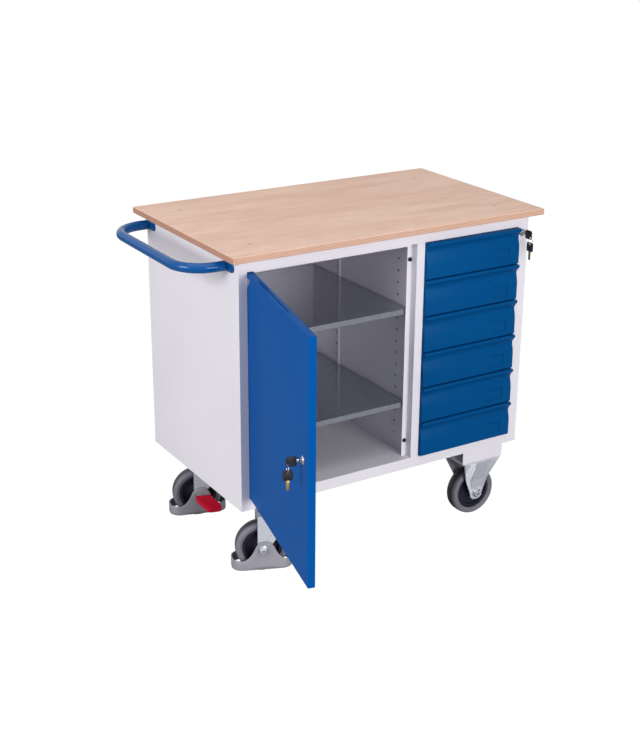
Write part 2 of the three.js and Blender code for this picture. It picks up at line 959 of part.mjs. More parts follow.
function wheelCore() {
  const bore = axleBore / Math.cos(Math.PI / wheelFacets);
  const rimInside = coreRadius - coreRimDepth;
  const web = webThickness / 2;
  const profile = [
    [bore, -hubLength / 2],
    [hubRadius, -hubLength / 2],
    [hubRadius + sheet, -web],
    [rimInside, -web],
    [rimInside + 2 * sheet, -coreWidth / 2],
    [coreRadius, -coreWidth / 2],
    [coreRadius, coreWidth / 2],
    [rimInside + 2 * sheet, coreWidth / 2],
    [rimInside, web],
    [hubRadius + sheet, web],
    [hubRadius, hubLength / 2],
    [bore, hubLength / 2],
    [bore, -hubLength / 2],
  ];
  return turnedY(profile, wheelFacets);
}

function wheel(place, x, y) {
  const group = placed("wheel_" + place, x, y, axleHeight);
  group.add(part("tyre_" + place, tyre(), tyreGrey));
  group.add(part("wheel_core_" + place, wheelCore(), coreBlack));
  return group;
}

// The axle bolt lies across both legs, with a hexagon outside on each of the sides named
function axleBolt(x, reach, outside, sides) {
  const shank = alongY(disc(x, axleHeight, axleRadius, smallFacets), -reach, reach);
  const head = disc(x, axleHeight, boltHeadRadius, hexagon);
  const heads = sides.map((side) => {
    const middle = side * (outside + boltHeadHeight / 2);
    return alongY(head, middle - boltHeadHeight / 2, middle + boltHeadHeight / 2);
  });
  const necks = sides.map((side) => {
    const round = disc(x, axleHeight, axleRadius, smallFacets);
    return alongY(round, Math.min(0, side * (outside + runGap)), Math.max(0, side * (outside + runGap)));
  });
  return joined([shank, ...heads, ...necks]);
}

// Fixed castor: an open steel riser and a pressed bracket with flared legs

function fixedRiser(y) {
  const half = plateWidth / 2 - riserOverlap / 2;
  const length = plateLength + 2 * riserOverlap;
  const [z0, z1] = [cabBottom - riserHeight, cabBottom];
  const section = rectangle(y - half, z0, y + half, z1);
  section.holes.push(
    rectangle(y - half + riserSheet, z0 + riserSheet, y + half - riserSheet, z1 - riserSheet),
  );
  return alongX(section, fixedX - length / 2, fixedX + length / 2);
}

// The outline in x, z of a leg that narrows from its top to a round foot about the axle
function legOutline(back, front, foot, axleX, top) {
  return roundedOutline([
    [back, top, 0],
    [axleX - foot, axleHeight, sheet],
    [axleX - foot, axleHeight - foot, foot - sheet],
    [axleX + foot, axleHeight - foot, foot - sheet],
    [axleX + foot, axleHeight, sheet],
    [front, top, 0],
  ]);
}

function fixedBracket() {
  const top = cabBottom - riserHeight;
  const bend = axleHeight + fixedBendHeight;
  const spread = legOuter + fixedTopSpread;
  const skin = (grow) => {
    const line = [
      [-legOuter - grow, axleHeight - fixedLegFoot],
      [-legOuter - grow, bend],
      [-spread - grow, top - legSheet],
      [-spread - grow, top],
      [spread + grow, top],
      [spread + grow, top - legSheet],
      [legOuter + grow, bend],
      [legOuter + grow, axleHeight - fixedLegFoot],
    ];
    return foldedSheet(line, -legSheet);
  };
  const half = fixedLegTop / 2;
  const legs = alongX(skin(0), -half, half).intersect(
    alongY(legOutline(-half, half, fixedLegFoot, 0, top), -plateWidth, plateWidth),
  );
  const band = fixedRibWidth / 2;
  const ribSkin = alongX(skin(fixedRibHeight), -half, half);
  const ribOutline = outline([
    [-band, axleHeight + fixedLegFoot],
    [band, axleHeight + fixedLegFoot],
    [band, top - legSheet],
    [-band, top - legSheet],
  ]);
  const rib = ribSkin.intersect(
    alongY(legOutline(-half, half, fixedLegFoot, 0, top), -plateWidth, plateWidth),
  ).intersect(alongY(ribOutline, -plateWidth, plateWidth));
  const plan = roundedRectangle(
    -plateLength / 2,
    -plateWidth / 2,
    plateLength / 2,
    plateWidth / 2,
    2 * legSheet,
  );
  const plate = alongZ(plan, top - plateThickness, top);
  return joined([plate, legs, rib, axleBolt(0, legOuter, legOuter + fixedRibHeight - runGap, [-1, 1])]);
}

// Swivel castor, in a frame whose Z axis is the swivel axis and whose wheel trails towards -X

function swivelHead() {
  const plan = roundedRectangle(
    -plateLength / 2,
    -plateWidth / 2,
    plateLength / 2,
    plateWidth / 2,
    2 * legSheet,
  );
  const underside = cabBottom - plateThickness;
  const foot = crownHeight + runGap;
  const profile = [
    [0, foot - kingpinReach],
    [kingpinRadius, foot - kingpinReach],
    [kingpinRadius, foot],
    [headFootRadius, foot],
    [headFootRadius + sheet, foot + kingpinReach],
    [headTopRadius, underside - plateThickness],
    [headTopRadius, underside],
    [0, underside],
  ];
  return alongZ(plan, underside, cabBottom).add(turnedZ(profile, roundFacets + smallFacets));
}

function fork(hand) {
  const line = [
    [-legOuter, axleHeight - forkLegFoot],
    [-legOuter, crownHeight],
    [legOuter, crownHeight],
    [legOuter, axleHeight - forkLegFoot],
  ];
  const back = -castorTrail - forkLegBack;
  const side = roundedOutline([
    [back, crownHeight, 0],
    [back, axleHeight, 0],
    [-castorTrail - forkLegFoot, axleHeight - forkLegFoot, forkLegBack],
    [-castorTrail + forkLegFoot, axleHeight - forkLegFoot, forkLegBack],
    [-castorTrail + forkLegFoot, axleHeight, sheet],
    [forkCrownFront, crownHeight - 2 * crownThickness, sheet],
    [forkCrownFront, crownHeight, 0],
  ]);
  const bent = alongX(foldedSheet(line, -legSheet), back, forkCrownFront);
  const crownHole = disc(0, 0, (kingpinRadius + 2 * runGap) / Math.cos(Math.PI / roundFacets));
  return bent
    .intersect(alongY(side, -legOuter, legOuter))
    .subtract(alongZ(crownHole, crownHeight - overrun, crownHeight + overrun))
    .add(axleBolt(-castorTrail, guardWidth / 2, guardWidth / 2 + runGap, [-hand]));
}

function stadium(inset) {
  const [half, side] = [guardLength / 2 - inset, guardWidth / 2 - inset];
  const [x0, x1] = [-castorTrail - half, -castorTrail + half];
  return roundedRectangle(x0, -side, x1, side, guardEndRadius - inset);
}

// How the guard's bell falls from its top to the band, as shares of its reach and its rise
const bellShares = [
  [0, 1],
  [0.18, 0.966],
  [0.29, 0.862],
  [0.38, 0.707],
  [0.47, 0.483],
  [0.59, 0.259],
  [0.74, 0.086],
  [0.88, 0.012],
  [1, 0],
];

// The guard is a closed wall round the wheel, cut to a low band that swells up to the axle
function footGuard(hand) {
  const middle = -castorTrail + guardBellShift;
  const rise = guardShoulder - guardBandTop;
  const bell = bellShares.map(([out, up]) => [out * guardBellReach, guardBandTop + up * rise]);
  const side = outline([
    [middle - guardLength, guardBottom],
    [middle + guardLength, guardBottom],
    [middle + guardLength, guardBandTop],
    ...bell.toReversed().map(([out, z]) => [middle + out, z]),
    ...bell.slice(1).map(([out, z]) => [middle - out, z]),
    [middle - guardLength, guardBandTop],
  ]);
  const wall = alongZ(stadium(0), guardBottom, guardShoulder).subtract(
    alongZ(stadium(guardWall), guardBottom - overrun, guardShoulder + overrun),
  );
  const bolt = disc(-castorTrail, axleHeight, axleRadius + 2 * runGap, smallFacets);
  const ring = alongY(side, -guardWidth, guardWidth).intersect(wall);
  const y = hand * pedalPivotY;
  const face = (hand * guardWidth) / 2;
  const lugs = [pedalX0 - lugWidth - runGap, pedalX0 + pedalWidth + runGap].map((x0) => {
    const section = roundedOutline([
      [Math.min(face, y + hand * pedalBarrelRadius), pedalPivotHeight - pedalBarrelRadius, sheet],
      [Math.max(face, y + hand * pedalBarrelRadius), pedalPivotHeight - pedalBarrelRadius, sheet],
      [Math.max(face, y + hand * pedalBarrelRadius), pedalPivotHeight + pedalBarrelRadius, sheet],
      [Math.min(face, y + hand * pedalBarrelRadius), pedalPivotHeight + pedalBarrelRadius, sheet],
    ]);
    return alongX(section, x0, x0 + lugWidth);
  });
  const pin = alongX(
    disc(y, pedalPivotHeight, pedalPinRadius, smallFacets),
    pedalX0 - lugWidth,
    pedalX0 + pedalWidth + lugWidth,
  );
  const through = alongY(bolt, -guardWidth, guardWidth);
  return joined([ring.subtract(through), pin, ...lugs]);
}

// The pedal is a hollow wedge, open below, on a barrel about the X axis at 0, 0. Hand -1 puts it
// on the wheel's -Y side
function brakePedal(hand) {
  const bore = (pedalPinRadius + pedalPinRoom) / Math.cos(Math.PI / smallFacets);
  const out = (reach) => hand * reach;
  const bend = pedalBarrelRadius + 2 * runGap;
  const wedge = (inset) => {
    const top = pedalBarrelRadius - sheet - inset;
    const foot = top - pedalSkirt - (inset > 0 ? overrun : 0);
    const tip = pedalReach + pedalThickness - inset;
    const section = outline([
      [out(inset > 0 ? bend : 0), top],
      [out(tip), top - pedalFall],
      [out(tip), foot - pedalFall],
      [out(inset > 0 ? bend : 0), foot],
    ]);
    const plan = roundedOutline([
      [inset, out(0), 0],
      [pedalWidth - inset, out(0), 0],
      [pedalWidth - inset, out(bend), 0],
      [pedalWidth + pedalSkew - inset, out(tip), pedalCorner - inset],
      [pedalSkew + inset, out(tip), pedalCorner - inset],
      [inset, out(bend), 0],
    ]);
    const height = 2 * guardShoulder;
    return alongX(section, 0, pedalWidth + pedalSkew).intersect(alongZ(plan, -height, height));
  };
  const barrel = alongX(disc(0, 0, pedalBarrelRadius, roundFacets), 0, pedalWidth);
  return barrel.add(wedge(0).subtract(wedge(pedalThickness))).subtract(
    alongX(disc(0, 0, bore, smallFacets), -overrun, pedalWidth + overrun),
  );
}

function swivelCastor(place, y, turn, hand) {
  const group = placed("swivel_" + place, swivelX, y, 0, turn);
  group.add(part("castor_fork_" + place, fork(hand), zinc));
  group.add(part("foot_guard_" + place, footGuard(hand), guardGrey));
  group.add(wheel(place + "_left", -castorTrail, 0));
  const pedal = placed("pedal_" + place, pedalX0, hand * pedalPivotY, pedalPivotHeight);
  pedal.add(part("brake_pedal_" + place, brakePedal(hand), pedalRed));
  group.add(pedal);
  return group;
}

// Places that the functions above share

const swivelX = cabLeft + swivelInset;
const fixedX = cabRight - fixedCastorInset;
const castorRows = { front: cabFront + frontCastorInset, rear: cabFront + rearCastorInset };
const pivotX = doorwayLeft + doorGap + pivotInset;
const pivotY = cabFront + pivotDepth;
const doorWidth = postLeft - doorwayLeft - 2 * doorGap;
const doorBottom = openBottom + doorGap;
const doorTop = openTop - doorGap;
const doorLockX = doorWidth - pivotInset - lockEdgeDistance;
const doorLockZ = (doorBottom + doorTop) / 2;
const doorBarrelLength = stopDepth + doorBarrelRoom;
const bufferX = postLeft - stopWidth / 2;
const bufferHeights = [openTop - bufferFromRail, openBottom + bufferFromRail];
const drawerPitch = openHeight / drawerCount;
const boxHeight = drawerPitch - boxBottomRise - boxTopGap;
const drawerLockX = cabRight - drawerLockInset;
const drawerLockZ = openTop - drawerLockDown;
const lowestCatch = drawerBase(drawerCount - 1) + boxBottomRise + boxHeight - catchHeight;
const keyEyeY = keyHoleInset - keyHeadStart - keyHeadLength;
const keyEyeZ = keyHoleInset - keyHeadWidth / 2;
const ringDrop = keyHoleRadius - ringWire - runGap - keyHeadThickness / 20;
const handleFrontY = cabFront + handleFrontInset;
const handleBackY = cabBack - handleBackInset;
const handleFacets = 14;
const handleSteps = 38;
const pedalPivotY = guardWidth / 2 + pedalBarrelRadius + runGap;
const pedalX0 = pedalStart - castorTrail;

// Assembly

const bench = new THREE.Group();
bench.add(part("worktop", worktop(), multiplex));
bench.add(part("cabinet_left_side", leftSide(), lightGrey));
bench.add(part("cabinet_right_side", rightSide(), lightGrey));
bench.add(part("cabinet_back", backPanel(), lightGrey));
bench.add(part("cabinet_floor", floorTray(), lightGrey));
bench.add(part("cabinet_top_frame", topFrame(), lightGrey));
bench.add(part("centre_post", centrePost(), lightGrey));
bench.add(part("centre_divider", divider(), lightGrey));
bench.add(part("left_lining", leftLining(), lightGrey));
bench.add(part("shelf_upper", shelf(upperShelfRow), galvanised));
bench.add(part("shelf_lower", shelf(lowerShelfRow), galvanised));
bench.add(part("door_buffer_upper", buffer(bufferHeights[0]), blackRubber));
bench.add(part("door_buffer_lower", buffer(bufferHeights[1]), blackRubber));
bench.add(part("push_handle", pushHandle(), drawerBlue));
bench.add(
  part("drawer_runners_left", runnerFrame(postLeft + sheet, drawerLeft, 1), galvanised),
);
bench.add(
  part("drawer_runners_right", runnerFrame(cabRight - sheet, drawerRight, -1), galvanised),
);

for (let i = 0; i < drawerCount; i += 1) {
  const drawer = placed("drawer_" + (i + 1), 0, 0, 0);
  drawer.add(part("drawer_front_" + (i + 1), drawerFront(i), drawerBlue));
  drawer.add(part("drawer_box_" + (i + 1), drawerBox(i), lightGrey));
  bench.add(drawer);
}

const door = placed("door", pivotX, pivotY, 0, -doorOpenAngle);
door.add(part("door_panel", doorPanel(), doorBlue));
door.add(part("door_stiffener", doorStiffener(), doorBlue));
bench.add(door);

function fitLock(place, carrier, x, y, z, barrel, camLength, camTurn) {
  const seat = placed(place + "_lock", x, y, z);
  seat.add(part(place + "_lock_housing", lockHousing(barrel), nickel));
  seat.add(part(place + "_lock_plug", lockPlug(barrel, camLength, camTurn), nickel));
  seat.add(part(place + "_key", insertedKey(), keyBlack));
  const spare = placed(place + "_spare", 0, keyEyeY, keyEyeZ - ringRadius - ringDrop);
  spare.add(part(place + "_spare_key", spareKey(), keyBlack));
  seat.add(spare);
  carrier.add(seat);
}

fitLock("door", door, doorLockX, -pivotDepth, doorLockZ, doorBarrelLength, doorCamLength, 0);
fitLock(
  "drawer",
  bench,
  drawerLockX,
  cabFront,
  drawerLockZ,
  drawerBarrelLength,
  drawerCamLength,
  180,
);
bench.add(part("locking_bar", lockingBar(), galvanised));

for (const [place, y] of Object.entries(castorRows)) {
  bench.add(part("castor_riser_" + place, fixedRiser(y), lightGrey));
  const bracket = placed("bracket_" + place, fixedX, y, 0);
  bracket.add(part("fixed_bracket_" + place, fixedBracket(), zinc));
  bracket.add(wheel(place + "_right", 0, 0));
  bench.add(bracket);
  const head = placed("head_" + place, swivelX, y, 0);
  head.add(part("swivel_head_" + place, swivelHead(), zinc));
  bench.add(head);
}
bench.add(swivelCastor("front", castorRows.front, frontSwivelTurn, 1));
bench.add(swivelCastor("rear", castorRows.rear, rearSwivelTurn, -1));

const extent = new THREE.Box3().setFromObject(bench, true);
const middle = extent.getCenter(new THREE.Vector3());
bench.position.set(-middle.x, -middle.y, 0);

const workbench = new THREE.Group();
workbench.add(bench);
export default workbench;
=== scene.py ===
from math import cos, hypot, pi, radians, sin

import bmesh
import bpy
from mathutils import Matrix, Vector


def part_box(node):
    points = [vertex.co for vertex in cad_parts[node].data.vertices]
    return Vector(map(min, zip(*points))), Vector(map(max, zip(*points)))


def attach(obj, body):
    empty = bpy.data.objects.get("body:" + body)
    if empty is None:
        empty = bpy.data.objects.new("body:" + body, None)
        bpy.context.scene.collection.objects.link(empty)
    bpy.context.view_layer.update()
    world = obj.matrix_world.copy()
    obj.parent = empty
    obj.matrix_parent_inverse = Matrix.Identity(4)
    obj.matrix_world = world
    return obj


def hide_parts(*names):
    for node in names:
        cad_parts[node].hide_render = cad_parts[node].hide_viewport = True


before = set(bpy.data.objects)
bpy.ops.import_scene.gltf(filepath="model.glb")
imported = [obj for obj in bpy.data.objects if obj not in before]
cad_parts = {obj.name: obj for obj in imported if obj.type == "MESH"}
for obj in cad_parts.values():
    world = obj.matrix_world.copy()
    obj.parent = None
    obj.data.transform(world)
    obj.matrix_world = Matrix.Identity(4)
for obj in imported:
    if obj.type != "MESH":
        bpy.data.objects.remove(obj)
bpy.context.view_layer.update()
scene = bpy.context.scene
MM = 0.001

# The studio: a white floor that keeps a soft shadow, a white surround, and three large soft lamps,
# one at the left, one low before the open door's compartment and one overhead. The camera stands
# before the left corner, a little above the worktop.

CAMERA_SPOT = Vector((-1974.1, -2948.6, 1914.8)) * MM
CAMERA_YAW = radians(31.72)
CAMERA_PITCH = radians(20.92)
CAMERA_ROLL = radians(0.45)
CAMERA_LENS = 67.08
SENSOR_WIDTH = 36
VIEW_DEPTH = 100
WHITE = (1, 1, 1, 1)
WORLD_LIGHT = 0.26
FLOOR_SIZE = 60.0
FLOOR_GREY = (0.42, 0.42, 0.42, 1)
FLOOR_GLOW = 1.12
FLOOR_GLOW_SHARE = 0.9
LAMPS = {
    "lamp_left": ((-4.9, -0.7, 2.3), 2.4, 178, (0, 0, 0.5)),
    "lamp_front": ((0.2, -5.0, 1.45), 2.8, 195, (0, 0, 0.6)),
    "lamp_top": ((-0.6, -0.4, 4.2), 3.2, 52, (0, 0, 0.9)),
}


def wire(tree, source, target):
    tree.links.new(source, target)


def node(tree, kind, **settings):
    made = tree.nodes.new(kind)
    for key, value in settings.items():
        setattr(made, key, value)
    return made


def blank_material(name):
    material = bpy.data.materials.new(name)
    material.use_nodes = True
    tree = material.node_tree
    tree.nodes.clear()
    return material, tree, tree.nodes.new("ShaderNodeOutputMaterial")


world = bpy.data.worlds.new("studio")
world.use_nodes = True
scene.world = world
tree = world.node_tree
tree.nodes.clear()
path = node(tree, "ShaderNodeLightPath")
seen = node(tree, "ShaderNodeMath", operation="MAXIMUM")
light = node(tree, "ShaderNodeBackground")
light.inputs["Color"].default_value = WHITE
light.inputs["Strength"].default_value = WORLD_LIGHT
white = node(tree, "ShaderNodeBackground")
white.inputs["Color"].default_value = WHITE
either = node(tree, "ShaderNodeMixShader")
out = node(tree, "ShaderNodeOutputWorld")
wire(tree, path.outputs["Is Camera Ray"], seen.inputs[0])
wire(tree, path.outputs["Is Glossy Ray"], seen.inputs[1])
wire(tree, seen.outputs[0], either.inputs[0])
wire(tree, light.outputs[0], either.inputs[1])
wire(tree, white.outputs[0], either.inputs[2])
wire(tree, either.outputs[0], out.inputs["Surface"])

floor_finish, tree, out = blank_material("studio_floor")
path = node(tree, "ShaderNodeLightPath")
matt = node(tree, "ShaderNodeBsdfDiffuse")
matt.inputs["Color"].default_value = FLOOR_GREY
glow = node(tree, "ShaderNodeEmission")
glow.inputs["Strength"].default_value = FLOOR_GLOW
share = node(tree, "ShaderNodeMath", operation="MULTIPLY")
share.inputs[1].default_value = FLOOR_GLOW_SHARE
either = node(tree, "ShaderNodeMixShader")
wire(tree, path.outputs["Is Camera Ray"], share.inputs[0])
wire(tree, share.outputs[0], either.inputs[0])
wire(tree, matt.outputs[0], either.inputs[1])
wire(tree, glow.outputs[0], either.inputs[2])
wire(tree, either.outputs[0], out.inputs["Surface"])

bm = bmesh.new()
bmesh.ops.create_grid(bm, x_segments=1, y_segments=1, size=FLOOR_SIZE / 2)
floor_mesh = bpy.data.meshes.new("studio_floor")
bm.to_mesh(floor_mesh)
bm.free()
floor_mesh.materials.append(floor_finish)
floor = bpy.data.objects.new("studio_floor", floor_mesh)
scene.collection.objects.link(floor)

for name, (spot, size, power, aim) in LAMPS.items():
    data = bpy.data.lights.new(name, "AREA")
    data.shape = "SQUARE"
    data.size = size
    data.energy = power
    lamp = bpy.data.objects.new(name, data)
    scene.collection.objects.link(lamp)
    lamp.location = spot
    lamp.rotation_euler = (Vector(aim) - Vector(spot)).to_track_quat("-Z", "Y").to_euler()

lens = bpy.data.cameras.new("camera")
lens.sensor_width = SENSOR_WIDTH
lens.lens = CAMERA_LENS
lens.clip_end = VIEW_DEPTH
camera = bpy.data.objects.new("camera", lens)
scene.collection.objects.link(camera)
scene.camera = camera
ahead = Vector((
    sin(CAMERA_YAW) * cos(CAMERA_PITCH),
    cos(CAMERA_YAW) * cos(CAMERA_PITCH),
    -sin(CAMERA_PITCH),
))
level = Vector((cos(CAMERA_YAW), -sin(CAMERA_YAW), 0))
upright = level.cross(ahead)
right = cos(CAMERA_ROLL) * level + sin(CAMERA_ROLL) * upright
up = cos(CAMERA_ROLL) * upright - sin(CAMERA_ROLL) * level
turn = Matrix((right, up, -ahead)).transposed().to_4x4()
camera.matrix_world = Matrix.Translation(CAMERA_SPOT) @ turn
scene.view_settings.view_transform = "Standard"

# The worktop is an 18 mm beech multiplex board: a pale sliced veneer on top with its grain along
# the bench, and the stacked plies showing as darker and paler lines on all four edges. Four
# countersunk screws hold it down to the cabinet's top frame.

PLY = 2.25 * MM
BOARD_DROP = 0.2 * MM
SCREWS_ALONG = (100 * MM, 900 * MM)
SCREWS_ACROSS = (100 * MM, 500 * MM)
SCREW_RADIUS = 4.6 * MM
SCREW_TAPER = 0.3 * MM
SCREW_DEPTH = 0.5 * MM
SCREW_SUNK = 0.27 * MM
SCREW_RIM = 2.6 * MM
SCREW_HOLLOW = 0.15 * MM
END_GRAIN = (0.62, 0.5, 0.46, 1)


def tone(red, green, blue):
    def linear(part):
        share = part / 255
        return share / 12.92 if share <= 0.04045 else ((share + 0.055) / 1.055) ** 2.4

    return (linear(red), linear(green), linear(blue), 1)


def new_group(name, takes, gives):
    group = bpy.data.node_groups.new(name, "ShaderNodeTree")
    for label, kind, value in takes:
        socket = group.interface.new_socket(label, in_out="INPUT", socket_type=kind)
        socket.default_value = value
    for label, kind in gives:
        group.interface.new_socket(label, in_out="OUTPUT", socket_type=kind)
    return group, group.nodes.new("NodeGroupInput"), group.nodes.new("NodeGroupOutput")


def placed_group(tree, group, **values):
    made = tree.nodes.new("ShaderNodeGroup")
    made.node_tree = group
    for label, value in values.items():
        made.inputs[label].default_value = value
    return made


def noise(tree, source, scale, detail=3, stretch=None, roughness=0.5):
    made = node(tree, "ShaderNodeTexNoise")
    made.inputs["Scale"].default_value = scale
    made.inputs["Detail"].default_value = detail
    made.inputs["Roughness"].default_value = roughness
    if stretch:
        mapping = node(tree, "ShaderNodeMapping")
        mapping.inputs["Scale"].default_value = stretch
        wire(tree, source, mapping.inputs["Vector"])
        source = mapping.outputs[0]
    wire(tree, source, made.inputs["Vector"])
    return made.outputs["Fac"]


def ramp(tree, source, stops):
    made = node(tree, "ShaderNodeValToRGB")
    slots = made.color_ramp.elements
    while len(slots) < len(stops):
        slots.new(0.5)
    for slot, (place, colour) in zip(slots, stops):
        slot.position = place
        slot.color = colour
    wire(tree, source, made.inputs["Fac"])
    return made.outputs["Color"]


def span(tree, source, low, high, to_low=0.0, to_high=1.0):
    made = node(tree, "ShaderNodeMapRange")
    for label, value in (
        ("From Min", low), ("From Max", high), ("To Min", to_low), ("To Max", to_high)
    ):
        made.inputs[label].default_value = value
    wire(tree, source, made.inputs["Value"])
    return made.outputs["Result"]


def mixed(tree, share, first, second, mode="MIX"):
    made = node(tree, "ShaderNodeMix", data_type="RGBA", blend_type=mode)
    sockets = (made.inputs[0], made.inputs[6], made.inputs[7])
    for socket, value in zip(sockets, (share, first, second)):
        if hasattr(value, "links"):
            wire(tree, value, socket)
        else:
            socket.default_value = value
    return made.outputs[2]


def bumped(tree, height, distance, strength=1.0):
    made = node(tree, "ShaderNodeBump")
    made.inputs["Distance"].default_value = distance
    made.inputs["Strength"].default_value = strength
    wire(tree, height, made.inputs["Height"])
    return made.outputs["Normal"]


def start_material(name):
    material, tree, out = blank_material(name)
    shader = node(tree, "ShaderNodeBsdfPrincipled")
    wire(tree, shader.outputs[0], out.inputs["Surface"])
    where = node(tree, "ShaderNodeTexCoord")
    return material, tree, shader, where.outputs["Object"]


multiplex, tree, shader, here = start_material("beech_multiplex")
broad = noise(tree, here, scale=3.2, detail=5, stretch=(1, 5, 5), roughness=0.6)
grain = noise(tree, here, scale=14, detail=6, stretch=(1, 22, 22), roughness=0.6)
fleck = noise(tree, here, scale=60, detail=3, stretch=(1, 14, 14), roughness=0.6)
face = ramp(tree, grain, [
    (0.3, tone(210, 168, 146)),
    (0.5, tone(228, 192, 172)),
    (0.72, tone(236, 206, 188)),
])
cloud = ramp(tree, broad, [(0.34, tone(208, 164, 142)), (0.66, tone(238, 208, 190))])
face = mixed(tree, 0.45, face, cloud)
face = mixed(tree, span(tree, fleck, 0.58, 0.75, 0, 0.25), face, tone(168, 128, 100))
split = node(tree, "ShaderNodeSeparateXYZ")
wire(tree, here, split.inputs[0])
layer = node(tree, "ShaderNodeMath", operation="FRACT")
depth = node(tree, "ShaderNodeMath", operation="MULTIPLY")
depth.inputs[1].default_value = 0.5 / PLY
wire(tree, split.outputs["Z"], depth.inputs[0])
wire(tree, depth.outputs[0], layer.inputs[0])
plies = ramp(tree, layer.outputs[0], [
    (0.0, tone(222, 184, 164)),
    (0.44, tone(212, 170, 150)),
    (0.5, tone(150, 108, 90)),
    (0.56, tone(184, 142, 122)),
    (0.92, tone(192, 150, 130)),
    (1.0, tone(144, 102, 84)),
])
pores = noise(tree, here, scale=90, detail=4, stretch=(1, 1, 7))
plies = mixed(tree, span(tree, pores, 0.4, 0.75, 0, 0.35), plies, tone(214, 172, 140))
facing = node(tree, "ShaderNodeNewGeometry")
side = node(tree, "ShaderNodeSeparateXYZ")
wire(tree, facing.outputs["True Normal"], side.inputs[0])
end = node(tree, "ShaderNodeMath", operation="ABSOLUTE")
wire(tree, side.outputs["X"], end.inputs[0])
end_grain = span(tree, end.outputs[0], 0.5, 0.9, 0, 0.65)
plies = mixed(tree, end_grain, plies, END_GRAIN, "MULTIPLY")
tilt = node(tree, "ShaderNodeMath", operation="ABSOLUTE")
wire(tree, side.outputs["Z"], tilt.inputs[0])
flat = span(tree, tilt.outputs[0], 0.55, 0.8)
wire(tree, mixed(tree, flat, plies, face), shader.inputs["Base Color"])
wire(tree, span(tree, grain, 0.3, 0.7, 0.62, 0.48), shader.inputs["Roughness"])
wire(tree, bumped(tree, grain, distance=0.0003, strength=0.5), shader.inputs["Normal"])
shader.inputs["Specular IOR Level"].default_value = 0.35


def cad_copy(name):
    bm = bmesh.new()
    bm.from_mesh(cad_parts[name].data)
    bmesh.ops.remove_doubles(bm, verts=bm.verts, dist=0.02 * MM)
    bmesh.ops.dissolve_limit(
        bm, angle_limit=radians(0.6), use_dissolve_boundaries=False, verts=bm.verts, edges=bm.edges
    )
    return bm


def rounded(bm, geom, width, segments=2, affect="EDGES", clamp=False):
    bmesh.ops.bevel(bm, geom=geom, offset=width, affect=affect, segments=segments, profile=0.5,
                    clamp_overlap=clamp, material=-1)


def soften(bm, width, segments=2, angle=30):
    folds = [e for e in bm.edges if len(e.link_faces) == 2]
    sharp = [e for e in folds if e.calc_face_angle() > radians(angle)]
    rounded(bm, sharp, width, segments, clamp=True)


def piece(name, bm, material, slot, body, *nodes, smooth=32, flat=False):
    mesh = bpy.data.meshes.new(name)
    bm.to_mesh(mesh)
    bm.free()
    mesh.materials.append(material)
    mesh.shade_smooth()
    mesh.set_sharp_from_angle(angle=radians(smooth))
    made = bpy.data.objects.new(name, mesh)
    scene.collection.objects.link(made)
    if flat:
        made.modifiers.new("even_faces", "WEIGHTED_NORMAL").keep_sharp = True
    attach(made, body)
    if nodes:
        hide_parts(*nodes)
    return made


bm = cad_copy("worktop")
low, high = (Vector(corner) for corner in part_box("worktop"))
above = [v for v in bm.verts if v.co.z > high.z - MM]
bmesh.ops.translate(bm, vec=(0, 0, -BOARD_DROP), verts=above)
piece("worktop_board", bm, multiplex, "multiplex", "cabinet", "worktop", smooth=20, flat=True)


def bare_metal(name, bright, dull, scale, low, high):
    material, tree, shader, here = start_material(name)
    scuff = noise(tree, here, scale, detail=4)
    tarnish = noise(tree, here, scale / 6, detail=4)
    colour = mixed(tree, span(tree, tarnish, 0.35, 0.7), bright, dull)
    wire(tree, colour, shader.inputs["Base Color"])
    wire(tree, span(tree, scuff, 0.3, 0.7, low, high), shader.inputs["Roughness"])
    wire(tree, bumped(tree, scuff, distance=0.00006, strength=0.3), shader.inputs["Normal"])
    shader.inputs["Metallic"].default_value = 1
    return material


screw_steel = bare_metal("screw_steel", tone(160, 160, 170), tone(128, 126, 134), scale=900,
                         low=0.28, high=0.5)
bm = bmesh.new()
for x in SCREWS_ALONG:
    for y in SCREWS_ACROSS:
        place = Matrix.Translation((low.x + x, low.y + y, high.z - SCREW_SUNK))
        disc = bmesh.ops.create_cone(
            bm, cap_ends=True, segments=32, radius1=SCREW_RADIUS,
            radius2=SCREW_RADIUS - SCREW_TAPER, depth=SCREW_DEPTH, matrix=place,
        )["verts"]
        top = {f for v in disc for f in v.link_faces if f.normal.z > 0.9}
        bmesh.ops.inset_region(bm, faces=list(top), thickness=SCREW_RIM, depth=-SCREW_HOLLOW)
piece("worktop_screws", bm, screw_steel, "zinc", "cabinet", smooth=30)

# The cabinet is folded from 1.5 mm sheet and powder coated light grey: two sides, a top frame, a
# floor with its front rail, a back, the centre post, and two inner walls punched with shelf holes.
# The folds are rounded by the press, and the coat has a faint orange peel.

FOLD = 0.6 * MM
SHELL = {
    "cabinet_left_side": "side_panel_left",
    "cabinet_right_side": "side_panel_right",
    "cabinet_top_frame": "top_frame_folded",
    "cabinet_floor": "floor_tray_folded",
    "centre_post": "centre_post_folded",
    "castor_riser_front": "riser_front_folded",
    "castor_riser_rear": "riser_rear_folded",
}


